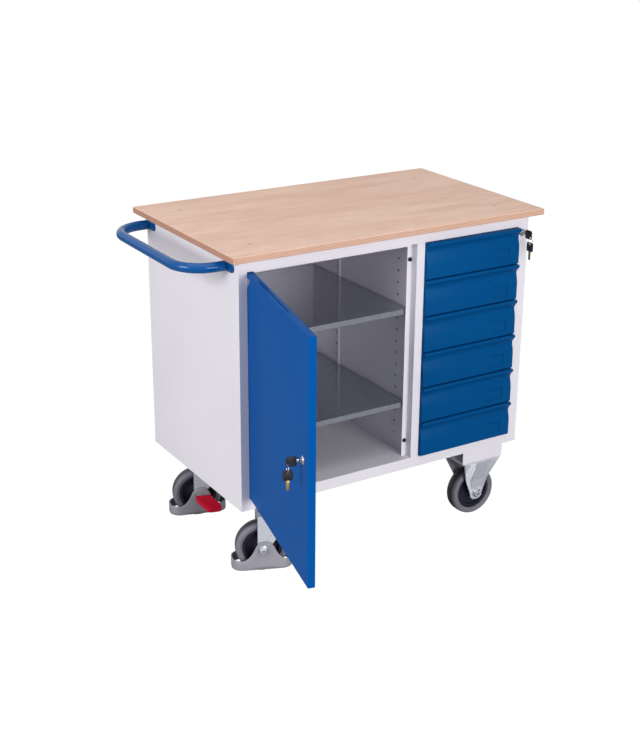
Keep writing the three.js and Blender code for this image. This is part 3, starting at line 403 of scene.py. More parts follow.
def coat_group():
    group, takes, gives = new_group(
        "powder_coat",
        [("Colour", "NodeSocketColor", WHITE), ("Gloss", "NodeSocketFloat", 0.4)],
        [("Colour", "NodeSocketColor"), ("Roughness", "NodeSocketFloat"),
         ("Normal", "NodeSocketVector")],
    )
    where = node(group, "ShaderNodeTexCoord").outputs["Object"]
    peel = noise(group, where, scale=900, detail=2)
    drift = noise(group, where, scale=2.5, detail=3)
    handling = noise(group, where, scale=14, detail=4)
    paint = takes.outputs["Colour"]
    darker = mixed(group, 1.0, paint, (0.95, 0.95, 0.955, 1), "MULTIPLY")
    colour = mixed(group, span(group, drift, 0.35, 0.65), paint, darker)
    wire(group, colour, gives.inputs["Colour"])
    shine = node(group, "ShaderNodeMath", operation="ADD")
    wire(group, span(group, handling, 0.3, 0.7, -0.03, 0.05), shine.inputs[0])
    wire(group, takes.outputs["Gloss"], shine.inputs[1])
    wire(group, shine.outputs[0], gives.inputs["Roughness"])
    wire(group, bumped(group, peel, distance=0.00005, strength=0.35), gives.inputs["Normal"])
    return group


powder_coat = coat_group()


def painted(name, colour, gloss, shine):
    material, tree, shader, _ = start_material(name)
    shader.inputs["Specular IOR Level"].default_value = shine
    coat = placed_group(tree, powder_coat, Colour=colour, Gloss=gloss)
    wire(tree, coat.outputs["Colour"], shader.inputs["Base Color"])
    wire(tree, coat.outputs["Roughness"], shader.inputs["Roughness"])
    wire(tree, coat.outputs["Normal"], shader.inputs["Normal"])
    return material


def folded(source, name, width, material, slot, body, segments=2, angle=50, smooth=60, flat=True):
    """A copy of a CAD node with its folds rounded, shown in the node's place."""
    bm = cad_copy(source)
    soften(bm, width, segments, angle)
    piece(name, bm, material, slot, body, source, smooth=smooth, flat=flat)


def recoat(material, *names):
    for name in names:
        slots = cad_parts[name].data.materials
        slots.clear()
        slots.append(material)


grey_coat = painted("light_grey_coat", tone(226, 222, 230), gloss=0.42, shine=0.3)
for name, label in SHELL.items():
    folded(name, label, FOLD, grey_coat, "light_grey_paint", "cabinet")
recoat(grey_coat, "cabinet_back", "centre_divider", "left_lining")

# The two shelves, the drawer runners and the locking bar are galvanised sheet: cold grey, fairly
# reflecting, with the soft patches of zinc crystals. Each shelf is a tray with its rim down, and
# lies on pins in the punched walls.


def galvanised_group():
    group, takes, gives = new_group(
        "zinc_crystals",
        [("Colour", "NodeSocketColor", WHITE), ("Size", "NodeSocketFloat", 90.0),
         ("Matt", "NodeSocketFloat", 0.3)],
        [("Colour", "NodeSocketColor"), ("Roughness", "NodeSocketFloat")],
    )
    where = node(group, "ShaderNodeTexCoord").outputs["Object"]
    cells = node(group, "ShaderNodeTexVoronoi", feature="SMOOTH_F1")
    wire(group, where, cells.inputs["Vector"])
    wire(group, takes.outputs["Size"], cells.inputs["Scale"])
    shade = node(group, "ShaderNodeSeparateColor")
    wire(group, cells.outputs["Color"], shade.inputs[0])
    sheet = takes.outputs["Colour"]
    darker = mixed(group, 1.0, sheet, (0.8, 0.81, 0.83, 1), "MULTIPLY")
    flake = span(group, shade.outputs[0], 0.1, 0.9, 0.15, 0.75)
    wire(group, mixed(group, flake, sheet, darker), gives.inputs["Colour"])
    rough = node(group, "ShaderNodeMath", operation="ADD")
    wire(group, span(group, shade.outputs[1], 0.2, 0.8, -0.03, 0.05), rough.inputs[0])
    wire(group, takes.outputs["Matt"], rough.inputs[1])
    wire(group, rough.outputs[0], gives.inputs["Roughness"])
    return group


zinc_crystals = galvanised_group()


def galvanised(name, colour, size, matt, metallic):
    material, tree, shader, _ = start_material(name)
    coat = placed_group(tree, zinc_crystals, Colour=colour, Size=size, Matt=matt)
    wire(tree, coat.outputs["Colour"], shader.inputs["Base Color"])
    wire(tree, coat.outputs["Roughness"], shader.inputs["Roughness"])
    shader.inputs["Metallic"].default_value = metallic
    return material


shelf_zinc = galvanised("galvanised_sheet", tone(176, 180, 189), size=110, matt=0.13,
                        metallic=0.85)
for name in ("upper", "lower"):
    folded("shelf_" + name, "shelf_tray_" + name, FOLD, shelf_zinc, "galvanised", "cabinet")
recoat(shelf_zinc, "drawer_runners_left", "drawer_runners_right", "locking_bar")

# The door is a pan of blue coated sheet with rounded long edges, a return lip all round and a
# stiffener inside. It turns on two pins, and its upper hinge corner is cut away for the pin.

DOOR_TURN = radians(-103)
DOOR_AXIS = Vector((-381.75, -29.555, 0)) * MM
DOOR_EDGE = 0.7 * MM
door_place = Matrix.Translation(DOOR_AXIS) @ Matrix.Rotation(DOOR_TURN, 4, "Z")
door_coat = painted("door_blue_coat", tone(4, 79, 152), gloss=0.16, shine=0.012)
folded("door_panel", "door_pan", DOOR_EDGE, door_coat, "door_blue_paint", "door")
folded("door_stiffener", "door_stiffener_hat", FOLD, door_coat, "door_blue_paint", "door",
       angle=30)

# Black rubber: a bush round each hinge pin, between the door and the cabinet, and two buffers on
# the post's stop flange that the door closes against. Each buffer is a mushroom with its stem in
# a hole.

BUSH_HEIGHTS = (266 * MM, 900.7 * MM)
BUSH_RADIUS = 6.4 * MM
BUSH_THICK = 2 * MM
BUSH_EDGE = 0.3 * MM
BUFFER_EDGE = 0.4 * MM


def moulded(name, colour, dusty, scale, low, high):
    material, tree, shader, here = start_material(name)
    grit = noise(tree, here, scale=600, detail=3)
    dust = noise(tree, here, scale, detail=4)
    tint = mixed(tree, span(tree, dust, 0.38, 0.72), colour, dusty)
    wire(tree, tint, shader.inputs["Base Color"])
    wire(tree, span(tree, grit, 0.3, 0.7, low, high), shader.inputs["Roughness"])
    wire(tree, bumped(tree, grit, distance=0.0001, strength=0.35), shader.inputs["Normal"])
    shader.inputs["Specular IOR Level"].default_value = 0.25
    return material


rubber = moulded("stop_rubber", tone(24, 24, 28), tone(40, 40, 46), scale=80, low=0.6, high=0.8)
bm = bmesh.new()
for z in BUSH_HEIGHTS:
    place = Matrix.Translation(DOOR_AXIS) @ Matrix.Translation((0, 0, z))
    bmesh.ops.create_cone(
        bm, cap_ends=True, segments=28, radius1=BUSH_RADIUS, radius2=BUSH_RADIUS,
        depth=BUSH_THICK, matrix=place @ Matrix.Translation((0, 0, BUSH_THICK / 2)),
    )
rounded(bm, [e for e in bm.edges if e.calc_face_angle() > 1], BUSH_EDGE)
piece("hinge_bushes", bm, rubber, "black_rubber", "door", smooth=50)
for name in ("upper", "lower"):
    folded("door_buffer_" + name, "buffer_%s_stop" % name, BUFFER_EDGE, rubber, "black_rubber",
           "cabinet", angle=40, smooth=50, flat=False)

# Each drawer has a front pressed from one blue sheet: a rolled grip lip on top, a hollow for the
# fingers under it, then a flat field with the outline of a label holder embossed at its right.
# The box behind it is folded from grey sheet.

FRONT_LIP = 21.5 * MM
FRONT_ROUND = 5 * MM
FIELD_OUT = 0.67
FRONT_PROFILE = (
    (0, 0),
    (0.82, 0),
    (1, 0.03),
    (0.95, 0.075),
    (0.64, 0.14),
    (0.42, 0.21),
    (0.38, 0.27),
    (0.5, 0.36),
    (0.62, 0.46),
    (FIELD_OUT, 0.56),
    (FIELD_OUT, 0.975),
    (0.6, 1),
    (0, 1),
)
HOLDER_FROM = 399 * MM
HOLDER_TO = 449 * MM
HOLDER_TOP = 55 * MM
HOLDER_LOW = 88 * MM
HOLDER_LIP = 1.8 * MM
HOLDER_RISE = 1.7 * MM
HOLDER_ROOT = 0.5 * MM
HOLDER_EDGE = 0.3 * MM
SKIN_EDGE = 0.6 * MM
TRAY_EDGE = 0.3 * MM


def rounded_line(points, cut, steps):
    line = [Vector(points[0])]
    for before, here, after in zip(points, points[1:], points[2:]):
        here = Vector(here)
        back = Vector(before) - here
        on = Vector(after) - here
        share = min(cut, back.length * 0.48, on.length * 0.48)
        start = here + back.normalized() * share
        end = here + on.normalized() * share
        for k in range(steps + 1):
            t = k / steps
            line.append(start * (1 - t) ** 2 + here * 2 * t * (1 - t) + end * t ** 2)
    line.append(Vector(points[-1]))
    return line


def moved_verts(grown):
    return [item for item in grown if isinstance(item, bmesh.types.BMVert)]


def prism(outline, shift):
    """A closed body: one face round the outline, pushed along by the shift."""
    bm = bmesh.new()
    face = bm.faces.new([bm.verts.new(point) for point in outline])
    grown = bmesh.ops.extrude_face_region(bm, geom=[face])["geom"]
    bmesh.ops.translate(bm, vec=shift, verts=moved_verts(grown))
    bmesh.ops.recalc_face_normals(bm, faces=bm.faces)
    return bm


def merged(bm, other):
    mesh = bpy.data.meshes.new("spare")
    other.to_mesh(mesh)
    other.free()
    bm.from_mesh(mesh)
    bpy.data.meshes.remove(mesh)


def block(low, high, round_edges):
    bm = bmesh.new()
    middle = (Vector(low) + Vector(high)) / 2
    size = Vector(high) - Vector(low)
    place = Matrix.Translation(middle) @ Matrix.Diagonal((size.x, size.y, size.z, 1))
    bmesh.ops.create_cube(bm, size=1, matrix=place)
    rounded(bm, bm.edges[:], round_edges)
    return bm


drawer_coat = painted("drawer_blue_coat", tone(2, 75, 132), gloss=0.35, shine=0.03)
for index in range(1, 7):
    body = "drawer_%d" % index
    low, high = (Vector(corner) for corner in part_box("drawer_front_%d" % index))
    height = high.z - low.z
    root = high.y
    points = [(root - out * FRONT_LIP, high.z - down * height) for out, down in FRONT_PROFILE]
    line = [Vector((low.x, y, z)) for y, z in rounded_line(points, FRONT_ROUND, 4)]
    bm = prism(line, (high.x - low.x, 0, 0))
    ends = [e for e in bm.edges if abs(e.verts[0].co.x - e.verts[1].co.x) < 0.01 * MM
            and min(v.co.y for v in e.verts) < root - 0.1 * MM]
    rounded(bm, ends, SKIN_EDGE)
    field = root - FIELD_OUT * FRONT_LIP
    for x0, x1, down0, down1 in (
        (HOLDER_FROM, HOLDER_TO, HOLDER_TOP, HOLDER_TOP + HOLDER_LIP),
        (HOLDER_FROM, HOLDER_TO, HOLDER_LOW - HOLDER_LIP, HOLDER_LOW),
        (HOLDER_TO - HOLDER_LIP, HOLDER_TO, HOLDER_TOP, HOLDER_LOW),
    ):
        outer = (x0, field - HOLDER_RISE, high.z - down1)
        inner = (x1, field + HOLDER_ROOT, high.z - down0)
        merged(bm, block(outer, inner, HOLDER_EDGE))
    piece("drawer_skin_%d" % index, bm, drawer_coat, "drawer_blue_paint", body,
          "drawer_front_%d" % index, smooth=40)
    folded("drawer_box_%d" % index, "drawer_tray_%d" % index, TRAY_EDGE, grey_coat,
           "light_grey_paint", body, segments=1)

# The push handle is one blue coated steel tube, bent round both corners, with an oval plate
# welded on each end and screwed to the cabinet's side.

TUBE = 13.5 * MM
TUBE_SIDES = 40
BEND = 86 * MM
BEND_STEPS = 20
HANDLE_Z = 910 * MM
HANDLE_ENDS = (21.945 * MM, 486.945 * MM)
SIDE_FACE = -419.75 * MM
PLATE = 4 * MM
REACH = 117 * MM
PLATE_AHEAD = 40 * MM
PLATE_BEHIND = 18 * MM
PLATE_EDGE = 1.2 * MM
HEX_RADIUS = 6 * MM
HEX_HEIGHT = 3.6 * MM
HEX_CHAMFER = 0.14
HEX_INSET = 11 * MM
aim_out = Matrix.Rotation(radians(-90), 4, "Y")


def ring_edges(grown):
    return [item for item in grown if isinstance(item, bmesh.types.BMEdge)]


def pushed(bm, edges, shift):
    """A tube's open end drawn out along the shift, and the new end's edges."""
    grown = bmesh.ops.extrude_edge_only(bm, edges=edges)["geom"]
    verts = set(moved_verts(grown))
    bmesh.ops.translate(bm, vec=shift, verts=list(verts))
    return [e for e in ring_edges(grown) if all(v in verts for v in e.verts)]


def turned_on(bm, edges, centre, angle, steps):
    """A tube's open end swept round a bend's centre, and the new end's edges."""
    grown = bmesh.ops.spin(
        bm, geom=edges, cent=centre, axis=(0, 0, 1), angle=angle, steps=steps, use_duplicate=False
    )["geom_last"]
    return ring_edges(grown)


def hex_screw(place, radius, height):
    """A screw head standing on the plane z = 0 of its place, chamfered round its top."""
    bm = bmesh.new()
    bmesh.ops.create_cone(
        bm, cap_ends=True, segments=6, radius1=radius, radius2=radius, depth=height,
        matrix=Matrix.Translation((0, 0, height / 2)),
    )
    top = [e for e in bm.edges if all(v.co.z > height * 0.9 for v in e.verts)]
    rounded(bm, top, radius * HEX_CHAMFER)
    bm.transform(place)
    return bm


bm = bmesh.new()
start = Matrix.Translation((SIDE_FACE - PLATE / 2, HANDLE_ENDS[0], HANDLE_Z)) @ aim_out
ring = bmesh.ops.create_circle(
    bm, cap_ends=False, segments=TUBE_SIDES, radius=TUBE, matrix=start
)["verts"]
edges = list({e for v in ring for e in v.link_edges})
leg = REACH - BEND - PLATE / 2
edges = pushed(bm, edges, (-leg, 0, 0))
corner = (SIDE_FACE - REACH + BEND, HANDLE_ENDS[0] + BEND, HANDLE_Z)
edges = turned_on(bm, edges, corner, -pi / 2, BEND_STEPS)
edges = pushed(bm, edges, (0, HANDLE_ENDS[1] - HANDLE_ENDS[0] - 2 * BEND, 0))
corner = (SIDE_FACE - REACH + BEND, HANDLE_ENDS[1] - BEND, HANDLE_Z)
edges = turned_on(bm, edges, corner, -pi / 2, BEND_STEPS)
pushed(bm, edges, (leg, 0, 0))
bmesh.ops.holes_fill(bm, edges=[e for e in bm.edges if e.is_boundary], sides=0)
bmesh.ops.recalc_face_normals(bm, faces=bm.faces)
for end in HANDLE_ENDS:
    plate = bmesh.new()
    half = (PLATE_AHEAD + PLATE_BEHIND) / 2
    bmesh.ops.create_circle(plate, cap_ends=True, segments=48, radius=TUBE)
    straight = half - TUBE
    for v in plate.verts:
        v.co.y += straight if v.co.y > 0 else -straight
    grown = bmesh.ops.extrude_face_region(plate, geom=plate.faces[:])["geom"]
    bmesh.ops.translate(plate, vec=(0, 0, PLATE), verts=moved_verts(grown))
    rim = [e for e in plate.edges if all(v.co.z > PLATE * 0.9 for v in e.verts)]
    rounded(plate, rim, PLATE_EDGE, 3)
    bmesh.ops.recalc_face_normals(plate, faces=plate.faces)
    middle = end + (PLATE_BEHIND - PLATE_AHEAD) / 2
    plate.transform(Matrix.Translation((SIDE_FACE, middle, HANDLE_Z)) @ aim_out)
    merged(bm, plate)
handle_coat = painted("handle_blue_coat", tone(3, 76, 140), gloss=0.09, shine=0.24)
piece("handle_tube", bm, handle_coat, "drawer_blue_paint", "cabinet", "push_handle", smooth=40)

bm = bmesh.new()
for end in HANDLE_ENDS:
    spot = (SIDE_FACE - PLATE, end - PLATE_AHEAD + HEX_INSET, HANDLE_Z)
    merged(bm, hex_screw(Matrix.Translation(spot) @ aim_out, HEX_RADIUS, HEX_HEIGHT))
piece("handle_screws", bm, handle_coat, "drawer_blue_paint", "cabinet", smooth=30)

# The cylinder locks are nickel plated, each with a rosette, a turning plug and a cam. The keys
# have moulded black heads on flat blades, and the spare key of each hangs on a wire ring.

LOCK_EDGE = 0.35 * MM
KEY_LENGTH = 26.5 * MM
KEY_WIDTH = 25 * MM
KEY_THICK = 3 * MM
KEY_START = 15 * MM
KEY_EYE = 5 * MM
KEY_CORNER = 5 * MM
HEAD_EDGE = 0.5 * MM
EYE_RADIUS = 3.4 * MM
RING_RADIUS = 8 * MM
RING_WIRE = 0.8 * MM
RING_DROP = 2.15 * MM
BLADE_LENGTH = 24.5 * MM
BLADE_WIDTH = 8 * MM
BLADE_THICK = 2.2 * MM
BLADE_SUNK = 4 * MM
BLADE_EDGE = 0.4 * MM
ROSETTE = 2.5 * MM
LOCKS = {
    "door": (door_place @ Matrix.Translation((470.5 * MM, -9.5 * MM, 583.5 * MM)),
             "door", "door_key", "door_spare_key"),
    "drawer": (Matrix.Translation((499.85 * MM, -39.055 * MM, 884.5 * MM)),
               "cabinet", "drawer_key", "drawer_spare_key"),
}
lay_down = Matrix.Rotation(radians(-90), 4, "X")
stand_up = Matrix.Rotation(radians(90), 4, "X")
nickel = bare_metal("nickel_plate", tone(204, 204, 210), tone(180, 178, 182), scale=600,
                    low=0.16, high=0.3)
brass = bare_metal("key_brass", tone(200, 166, 112), tone(172, 136, 84), scale=600,
                   low=0.25, high=0.4)
key_plastic = moulded("key_plastic", tone(24, 24, 30), tone(38, 38, 46), scale=60,
                      low=0.44, high=0.58)


def key_head(place, eye):
    """A plate with round corners and an eye, from y = 0 back to its length in the plane x = 0."""
    bm = bmesh.new()
    middle = Matrix.Translation((-KEY_LENGTH / 2, 0, -KEY_THICK / 2))
    bmesh.ops.create_grid(bm, x_segments=1, y_segments=1, size=0.5,
                          matrix=middle @ Matrix.Diagonal((KEY_LENGTH, KEY_WIDTH, 1, 1)))
    rounded(bm, bm.verts[:], KEY_CORNER, 6, "VERTICES")
    bmesh.ops.delete(bm, geom=bm.faces[:], context="FACES_ONLY")
    spot = Matrix.Translation((KEY_EYE - KEY_LENGTH, eye, -KEY_THICK / 2))
    bmesh.ops.create_circle(bm, segments=24, radius=EYE_RADIUS, matrix=spot)
    bmesh.ops.triangle_fill(bm, use_beauty=True, edges=bm.edges[:])
    grown = bmesh.ops.extrude_face_region(bm, geom=bm.faces[:])["geom"]
    bmesh.ops.translate(bm, vec=(0, 0, KEY_THICK), verts=moved_verts(grown))
    bmesh.ops.recalc_face_normals(bm, faces=bm.faces)
    soften(bm, HEAD_EDGE, 2, 60)
    bm.transform(place @ Matrix(((0, 0, 1), (1, 0, 0), (0, 1, 0))).to_4x4())
    return bm


def key_blade(place, length):
    bm = bmesh.new()
    size = Matrix.Diagonal((BLADE_THICK, length, BLADE_WIDTH, 1))
    bmesh.ops.create_cube(bm, size=1, matrix=Matrix.Translation((0, length / 2, 0)) @ size)
    rounded(bm, bm.edges[:], BLADE_EDGE)
    bm.transform(place)
    return bm


for label, (place, carrier, key_body, spare_body) in LOCKS.items():
    for part, body in (("_lock_housing", carrier), ("_lock_plug", key_body)):
        folded(label + part, label + part + "_turned", LOCK_EDGE, nickel, "nickel", body,
               angle=40, smooth=50, flat=False)
    head = place @ Matrix.Translation((0, -KEY_START, 0))
    piece(label + "_key_head", key_head(head, KEY_EYE - KEY_WIDTH / 2), key_plastic, "key_black",
          key_body, label + "_key", smooth=40)
    shank = place @ Matrix.Translation((0, -KEY_START - BLADE_SUNK, 0))
    piece(label + "_key_blade", key_blade(shank, KEY_START + BLADE_SUNK - ROSETTE), nickel,
          "nickel", key_body)
    eye = place @ Matrix.Translation((0, KEY_EYE - KEY_START - KEY_LENGTH, KEY_EYE - KEY_WIDTH / 2))
    middle = eye @ Matrix.Translation((0, 0, -RING_RADIUS - RING_DROP))
    hang = middle @ Matrix.Translation((0, 0, KEY_EYE - RING_RADIUS))
    foot = hang @ Matrix.Translation((0, 0, -KEY_LENGTH)) @ lay_down
    piece(label + "_spare_head", key_head(foot, 0), key_plastic, "key_black", spare_body,
          label + "_spare_key", smooth=40)
    tip = hang @ Matrix.Translation((0, 0, -KEY_LENGTH + BLADE_SUNK)) @ lay_down
    piece(label + "_spare_blade", key_blade(tip, BLADE_LENGTH + BLADE_SUNK), brass, "nickel",
          spare_body)
    bm = bmesh.new()
    wire_ring = bmesh.ops.create_circle(
        bm, segments=10, radius=RING_WIRE,
        matrix=Matrix.Translation((RING_RADIUS, 0, 0)) @ stand_up,
    )["verts"]
    loop = list({e for v in wire_ring for e in v.link_edges})
    bmesh.ops.spin(bm, geom=loop, cent=(0, 0, 0), axis=(0, 0, 1), angle=2 * pi, steps=40,
                   use_merge=True, use_duplicate=False)
    bmesh.ops.remove_doubles(bm, verts=bm.verts, dist=0.01 * MM)
    bmesh.ops.recalc_face_normals(bm, faces=bm.faces)
    bm.transform(middle @ stand_up)
    piece(label + "_key_ring", bm, nickel, "nickel", spare_body, smooth=60)

# Four castor wheels, each a grey rubber tyre on a black plastic core. The left two turn in steel
# forks inside grey plastic foot guards with red brake pedals, the right two in pressed brackets.

AXLE_Z = 75 * MM
SWIVELS = {"front": (18.945 * MM, radians(-22)), "rear": (420.945 * MM, radians(-17))}
SWIVEL_X = -282.75 * MM
FIXED_X = 402.25 * MM
TRAIL = 40 * MM
WHEEL_STEPS = 96
# The radii where the painted shade on the tyre's tread begins and where it is full.
TREAD_SHADE_FROM = 74.2 * MM
TREAD_SHADE_FULL = 74.8 * MM
castor_place = {
    place: Matrix.Translation((SWIVEL_X, y, 0)) @ Matrix.Rotation(turn, 4, "Z")
    for place, (y, turn) in SWIVELS.items()
}
axle_place = {
    "front_left": castor_place["front"] @ Matrix.Translation((-TRAIL, 0, AXLE_Z)),
    "rear_left": castor_place["rear"] @ Matrix.Translation((-TRAIL, 0, AXLE_Z)),
    "front_right": Matrix.Translation((FIXED_X, SWIVELS["front"][0], AXLE_Z)),
    "rear_right": Matrix.Translation((FIXED_X, SWIVELS["rear"][0], AXLE_Z)),
}


def spun(profile, steps, place):
    bm = bmesh.new()
    verts = [bm.verts.new((radius, 0, along)) for radius, along in profile]
    pairs = list(zip(verts, verts[1:]))
    if profile[0][0] > 0:
        pairs.append((verts[-1], verts[0]))
    edges = [bm.edges.new(pair) for pair in pairs]
    bmesh.ops.spin(bm, geom=verts + edges, cent=(0, 0, 0), axis=(0, 0, 1), angle=2 * pi,
                   steps=steps, use_merge=True, use_duplicate=False)
    bmesh.ops.remove_doubles(bm, verts=bm.verts, dist=0.002 * MM)
    bmesh.ops.recalc_face_normals(bm, faces=bm.faces)
    reach = bm.verts.layers.float.new("reach")
    for v in bm.verts:
        v[reach] = hypot(v.co.x, v.co.y)
    bm.transform(place)
    return bm


def in_mm(pairs):
    return [(radius * MM, along * MM) for radius, along in pairs]


TYRE = in_mm([
    (56.3, -16), (57.5, -18.2), (58.6, -18.8), (60.2, -18.2), (61.2, -19.6), (63.5, -20.8),
    (67, -21), (69.6, -20.6), (71.6, -19.3), (73, -17.2), (73.8, -14.6), (74.5, -10), (74.9, -5),
    (75, 0), (74.9, 5), (74.5, 10), (73.8, 14.6), (73, 17.2), (71.6, 19.3), (69.6, 20.6),
    (67, 21), (63.5, 20.8), (61.2, 19.6), (60.2, 18.2), (58.6, 18.8), (57.5, 18.2), (56.3, 16),
])
CORE = in_mm([
    (6.4, -28.4), (11, -28.4), (12.6, -27.6), (14.6, -14), (16.5, -8.5), (20, -6.6), (30, -5.4),
    (38, -5.2), (43.5, -6.2), (45.6, -9), (47.2, -14.6), (48.6, -16), (55.2, -16), (56, -15.2),
    (56, 15.2), (55.2, 16), (48.6, 16), (47.2, 14.6), (45.6, 9), (43.5, 6.2), (38, 5.2),
    (30, 5.4), (20, 6.6), (16.5, 8.5), (14.6, 14), (12.6, 27.6), (11, 28.4), (6.4, 28.4),
])


def tyre_material(name, colour):
    material, tree, shader, here = start_material(name)
    dust = noise(tree, here, scale=22, detail=5)
    grit = noise(tree, here, scale=600, detail=3)
    worn = mixed(tree, span(tree, dust, 0.35, 0.7, 0, 0.4), colour, tone(128, 126, 136))
    reach = node(tree, "ShaderNodeAttribute", attribute_name="reach").outputs["Fac"]
    # From a radius just inside the rim, the tyre's outer band is blended towards near-black:
    # painted shade, standing in for the contact shadow under the wheel and for the tread turned
    # away from the lamps.
    tread_shade = span(tree, reach, TREAD_SHADE_FROM, TREAD_SHADE_FULL, 0, 0.85)
    wire(tree, mixed(tree, tread_shade, worn, tone(34, 34, 40)), shader.inputs["Base Color"])
    wire(tree, span(tree, grit, 0.3, 0.7, 0.42, 0.6), shader.inputs["Roughness"])
    wire(tree, bumped(tree, grit, distance=0.0002, strength=0.35), shader.inputs["Normal"])
    shader.inputs["Specular IOR Level"].default_value = 0.4
    return material


tyre_rubber = tyre_material("grey_tyre", tone(108, 107, 118))
core_plastic = moulded("core_plastic", tone(26, 27, 40), tone(36, 36, 50), scale=18,
                       low=0.3, high=0.45)
for name, place in axle_place.items():
    body = "wheel_" + name
    axle = place @ lay_down
    piece("tyre_moulded_" + name, spun(TYRE, WHEEL_STEPS, axle), tyre_rubber, "grey_rubber", body,
          "tyre_" + name, smooth=50)
    piece("core_moulded_" + name, spun(CORE, WHEEL_STEPS, axle), core_plastic, "black_plastic",
          body, "wheel_core_" + name, smooth=40)

# Each axle is a steel bolt. A zinc plated washer and the bolt's end show on both sides of the
# right brackets, and at the left on the outer side of each guard, away from its brake pedal.

WASHER = in_mm([(8, 0), (13, 0), (13.5, 0.4), (13.5, 1.2), (13, 1.6), (8, 1.6)])
STUD = in_mm([(0, 0), (5, 0), (5, 2.2), (4.2, 3), (0, 3)])
AXLE_ENDS = (
    ("front_left", "castor_front", (-1,), 36.5 * MM, 42.8 * MM),
    ("rear_left", "castor_rear", (1,), 36.5 * MM, 42.8 * MM),
    ("front_right", "cabinet", (-1, 1), 35.7 * MM, 41.4 * MM),
    ("rear_right", "cabinet", (-1, 1), 35.7 * MM, 41.4 * MM),
)
screw_zinc = bare_metal("zinc_screw", tone(194, 196, 204), tone(166, 167, 176), scale=700,
                        low=0.25, high=0.42)
for name, body, sides, wall, end in AXLE_ENDS:
    bm = bmesh.new()
    for side in sides:
        out = axle_place[name] @ Matrix.Rotation(radians(-90 * side), 4, "X")
        merged(bm, spun(WASHER, 40, out @ Matrix.Translation((0, 0, wall))))
        merged(bm, spun(STUD, 24, out @ Matrix.Translation((0, 0, end))))
    piece("axle_ends_" + name, bm, screw_zinc, "zinc", body, smooth=40)

# The castors' steel is pressed and bright zinc plated: a bracket under each riser at the right,
# and a swivel head bolted under the floor with a fork turning below it at the left. The bracket's
# rib edges are drawn with a wide round.

RIB = 20 * MM
RIB_EDGE = 1.3 * MM
PRESSED_EDGE = 0.8 * MM
zinc_plate = galvanised("bright_zinc", tone(206, 208, 217), size=420, matt=0.3, metallic=0.35)
for name in SWIVELS:
    for label, body in (("fixed_bracket_", "cabinet"), ("swivel_head_", "cabinet"),
                        ("castor_fork_", "castor_" + name)):
        bm = cad_copy(label + name)
        if label == "fixed_bracket_":
            rib = [e for e in bm.edges
                   if all(abs(abs(v.co.x - FIXED_X) - RIB) < 0.1 * MM for v in e.verts)]
            rounded(bm, rib, RIB_EDGE, 4)
        soften(bm, PRESSED_EDGE, 2, 35)
        piece(label + name + "_pressed", bm, zinc_plate, "zinc", body, label + name, smooth=60,
              flat=True)

# The foot guards are grey plastic walls round the swivel wheels, moulded in one with a raised
# shoulder on each side at the axle. They keep feet from under the wheel.

GUARD_LENGTH = 172 * MM
GUARD_WIDTH = 73 * MM
GUARD_END = 31 * MM
GUARD_WALL = 3.5 * MM
GUARD_LOW = 14 * MM
GUARD_BAND = 42 * MM
GUARD_TOP = 100 * MM
GUARD_ROWS = 7
GUARD_STEPS = 56
GUARD_END_STEPS = 18
BELL_SHIFT = 6 * MM
BELL_REACH = 68 * MM
BELL = (
    (0, 1), (0.18, 0.966), (0.29, 0.862), (0.38, 0.707), (0.47, 0.483), (0.59, 0.259),
    (0.74, 0.086), (0.88, 0.012), (1, 0),
)


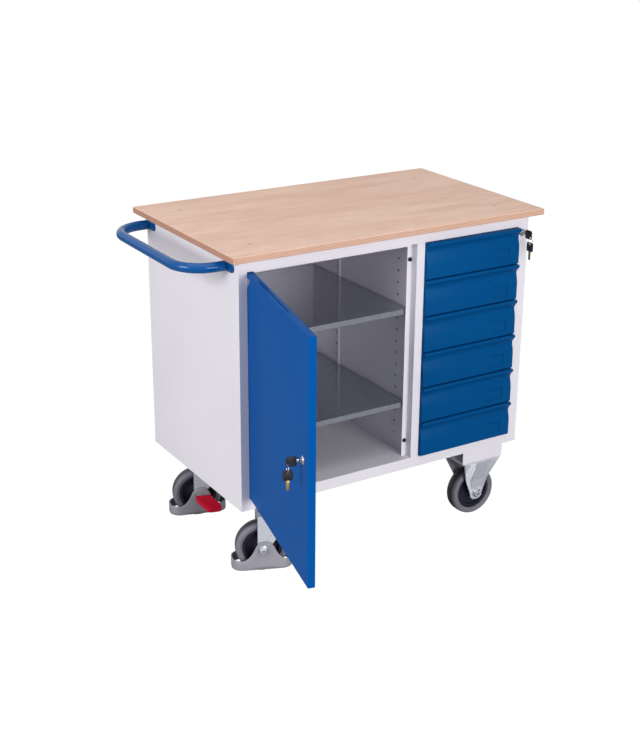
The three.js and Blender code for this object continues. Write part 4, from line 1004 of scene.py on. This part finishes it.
def guard_height(x):
    """The bell's height at a place along the guard, eased between the points of its curve."""
    reach = abs(x - BELL_SHIFT) / BELL_REACH
    if reach >= 1:
        return GUARD_BAND
    ends = [(-BELL[1][0], BELL[1][1])] + list(BELL) + [(1.12, 0)]
    for before, left, right, after in zip(ends, ends[1:], ends[2:], ends[3:]):
        if left[0] <= reach <= right[0]:
            width = right[0] - left[0]
            share = (reach - left[0]) / width
            rise_left = (right[1] - before[1]) / (right[0] - before[0]) * width
            rise_right = (after[1] - left[1]) / (after[0] - left[0]) * width
            a, b = share ** 2, share ** 3
            up = (2 * b - 3 * a + 1) * left[1] + (b - 2 * a + share) * rise_left
            up += (3 * a - 2 * b) * right[1] + (b - a) * rise_right
            return GUARD_BAND + (GUARD_TOP - GUARD_BAND) * up
    return GUARD_BAND


def guard_round():
    points = []
    half = GUARD_LENGTH / 2 - GUARD_END
    side = GUARD_WIDTH / 2
    for sign in (1, -1):
        for k in range(GUARD_STEPS):
            points.append((sign * (half - 2 * half * k / GUARD_STEPS), sign * side))
        straight = side - GUARD_END
        for k in range(GUARD_END_STEPS + 1):
            angle = pi / 2 + k * pi / GUARD_END_STEPS
            y = GUARD_END * sin(angle)
            y += straight if y > 0 else -straight
            points.append((sign * (GUARD_END * cos(angle) - half), sign * y))
    return points


guard_plastic = moulded("guard_plastic", tone(145, 144, 153), tone(132, 131, 140), scale=16,
                        low=0.42, high=0.56)
for name in SWIVELS:
    bm = bmesh.new()
    grid = []
    for x, across in guard_round():
        top = guard_height(x) if abs(across) > GUARD_WIDTH / 2 - 0.1 * MM else GUARD_BAND
        rise = top - GUARD_LOW
        grid.append([bm.verts.new((x - TRAIL, across, GUARD_LOW + rise * k / GUARD_ROWS))
                     for k in range(GUARD_ROWS + 1)])
    for left, right in zip(grid, grid[1:] + grid[:1]):
        for k in range(GUARD_ROWS):
            bm.faces.new((left[k], right[k], right[k + 1], left[k + 1]))
    bmesh.ops.remove_doubles(bm, verts=bm.verts, dist=0.01 * MM)
    bmesh.ops.recalc_face_normals(bm, faces=bm.faces)
    bm.transform(castor_place[name])
    guard = piece("guard_wall_" + name, bm, guard_plastic, "grey_plastic", "castor_" + name,
                  "foot_guard_" + name, smooth=50)
    wall = guard.modifiers.new("wall", "SOLIDIFY")
    wall.thickness = GUARD_WALL
    wall.offset = -1

# The brake pedals are red plastic mouldings, each hinged on lugs at the inner side of its foot
# guard and tilted by foot.

PEDAL_EDGE = 1.2 * MM
red_plastic = moulded("pedal_red", tone(196, 8, 48), tone(174, 10, 42), scale=30, low=0.3,
                      high=0.45)
for name in SWIVELS:
    body = "brake_pedal_" + name
    folded(body, "pedal_" + name, PEDAL_EDGE, red_plastic, "red_plastic", body, segments=3,
           angle=35)
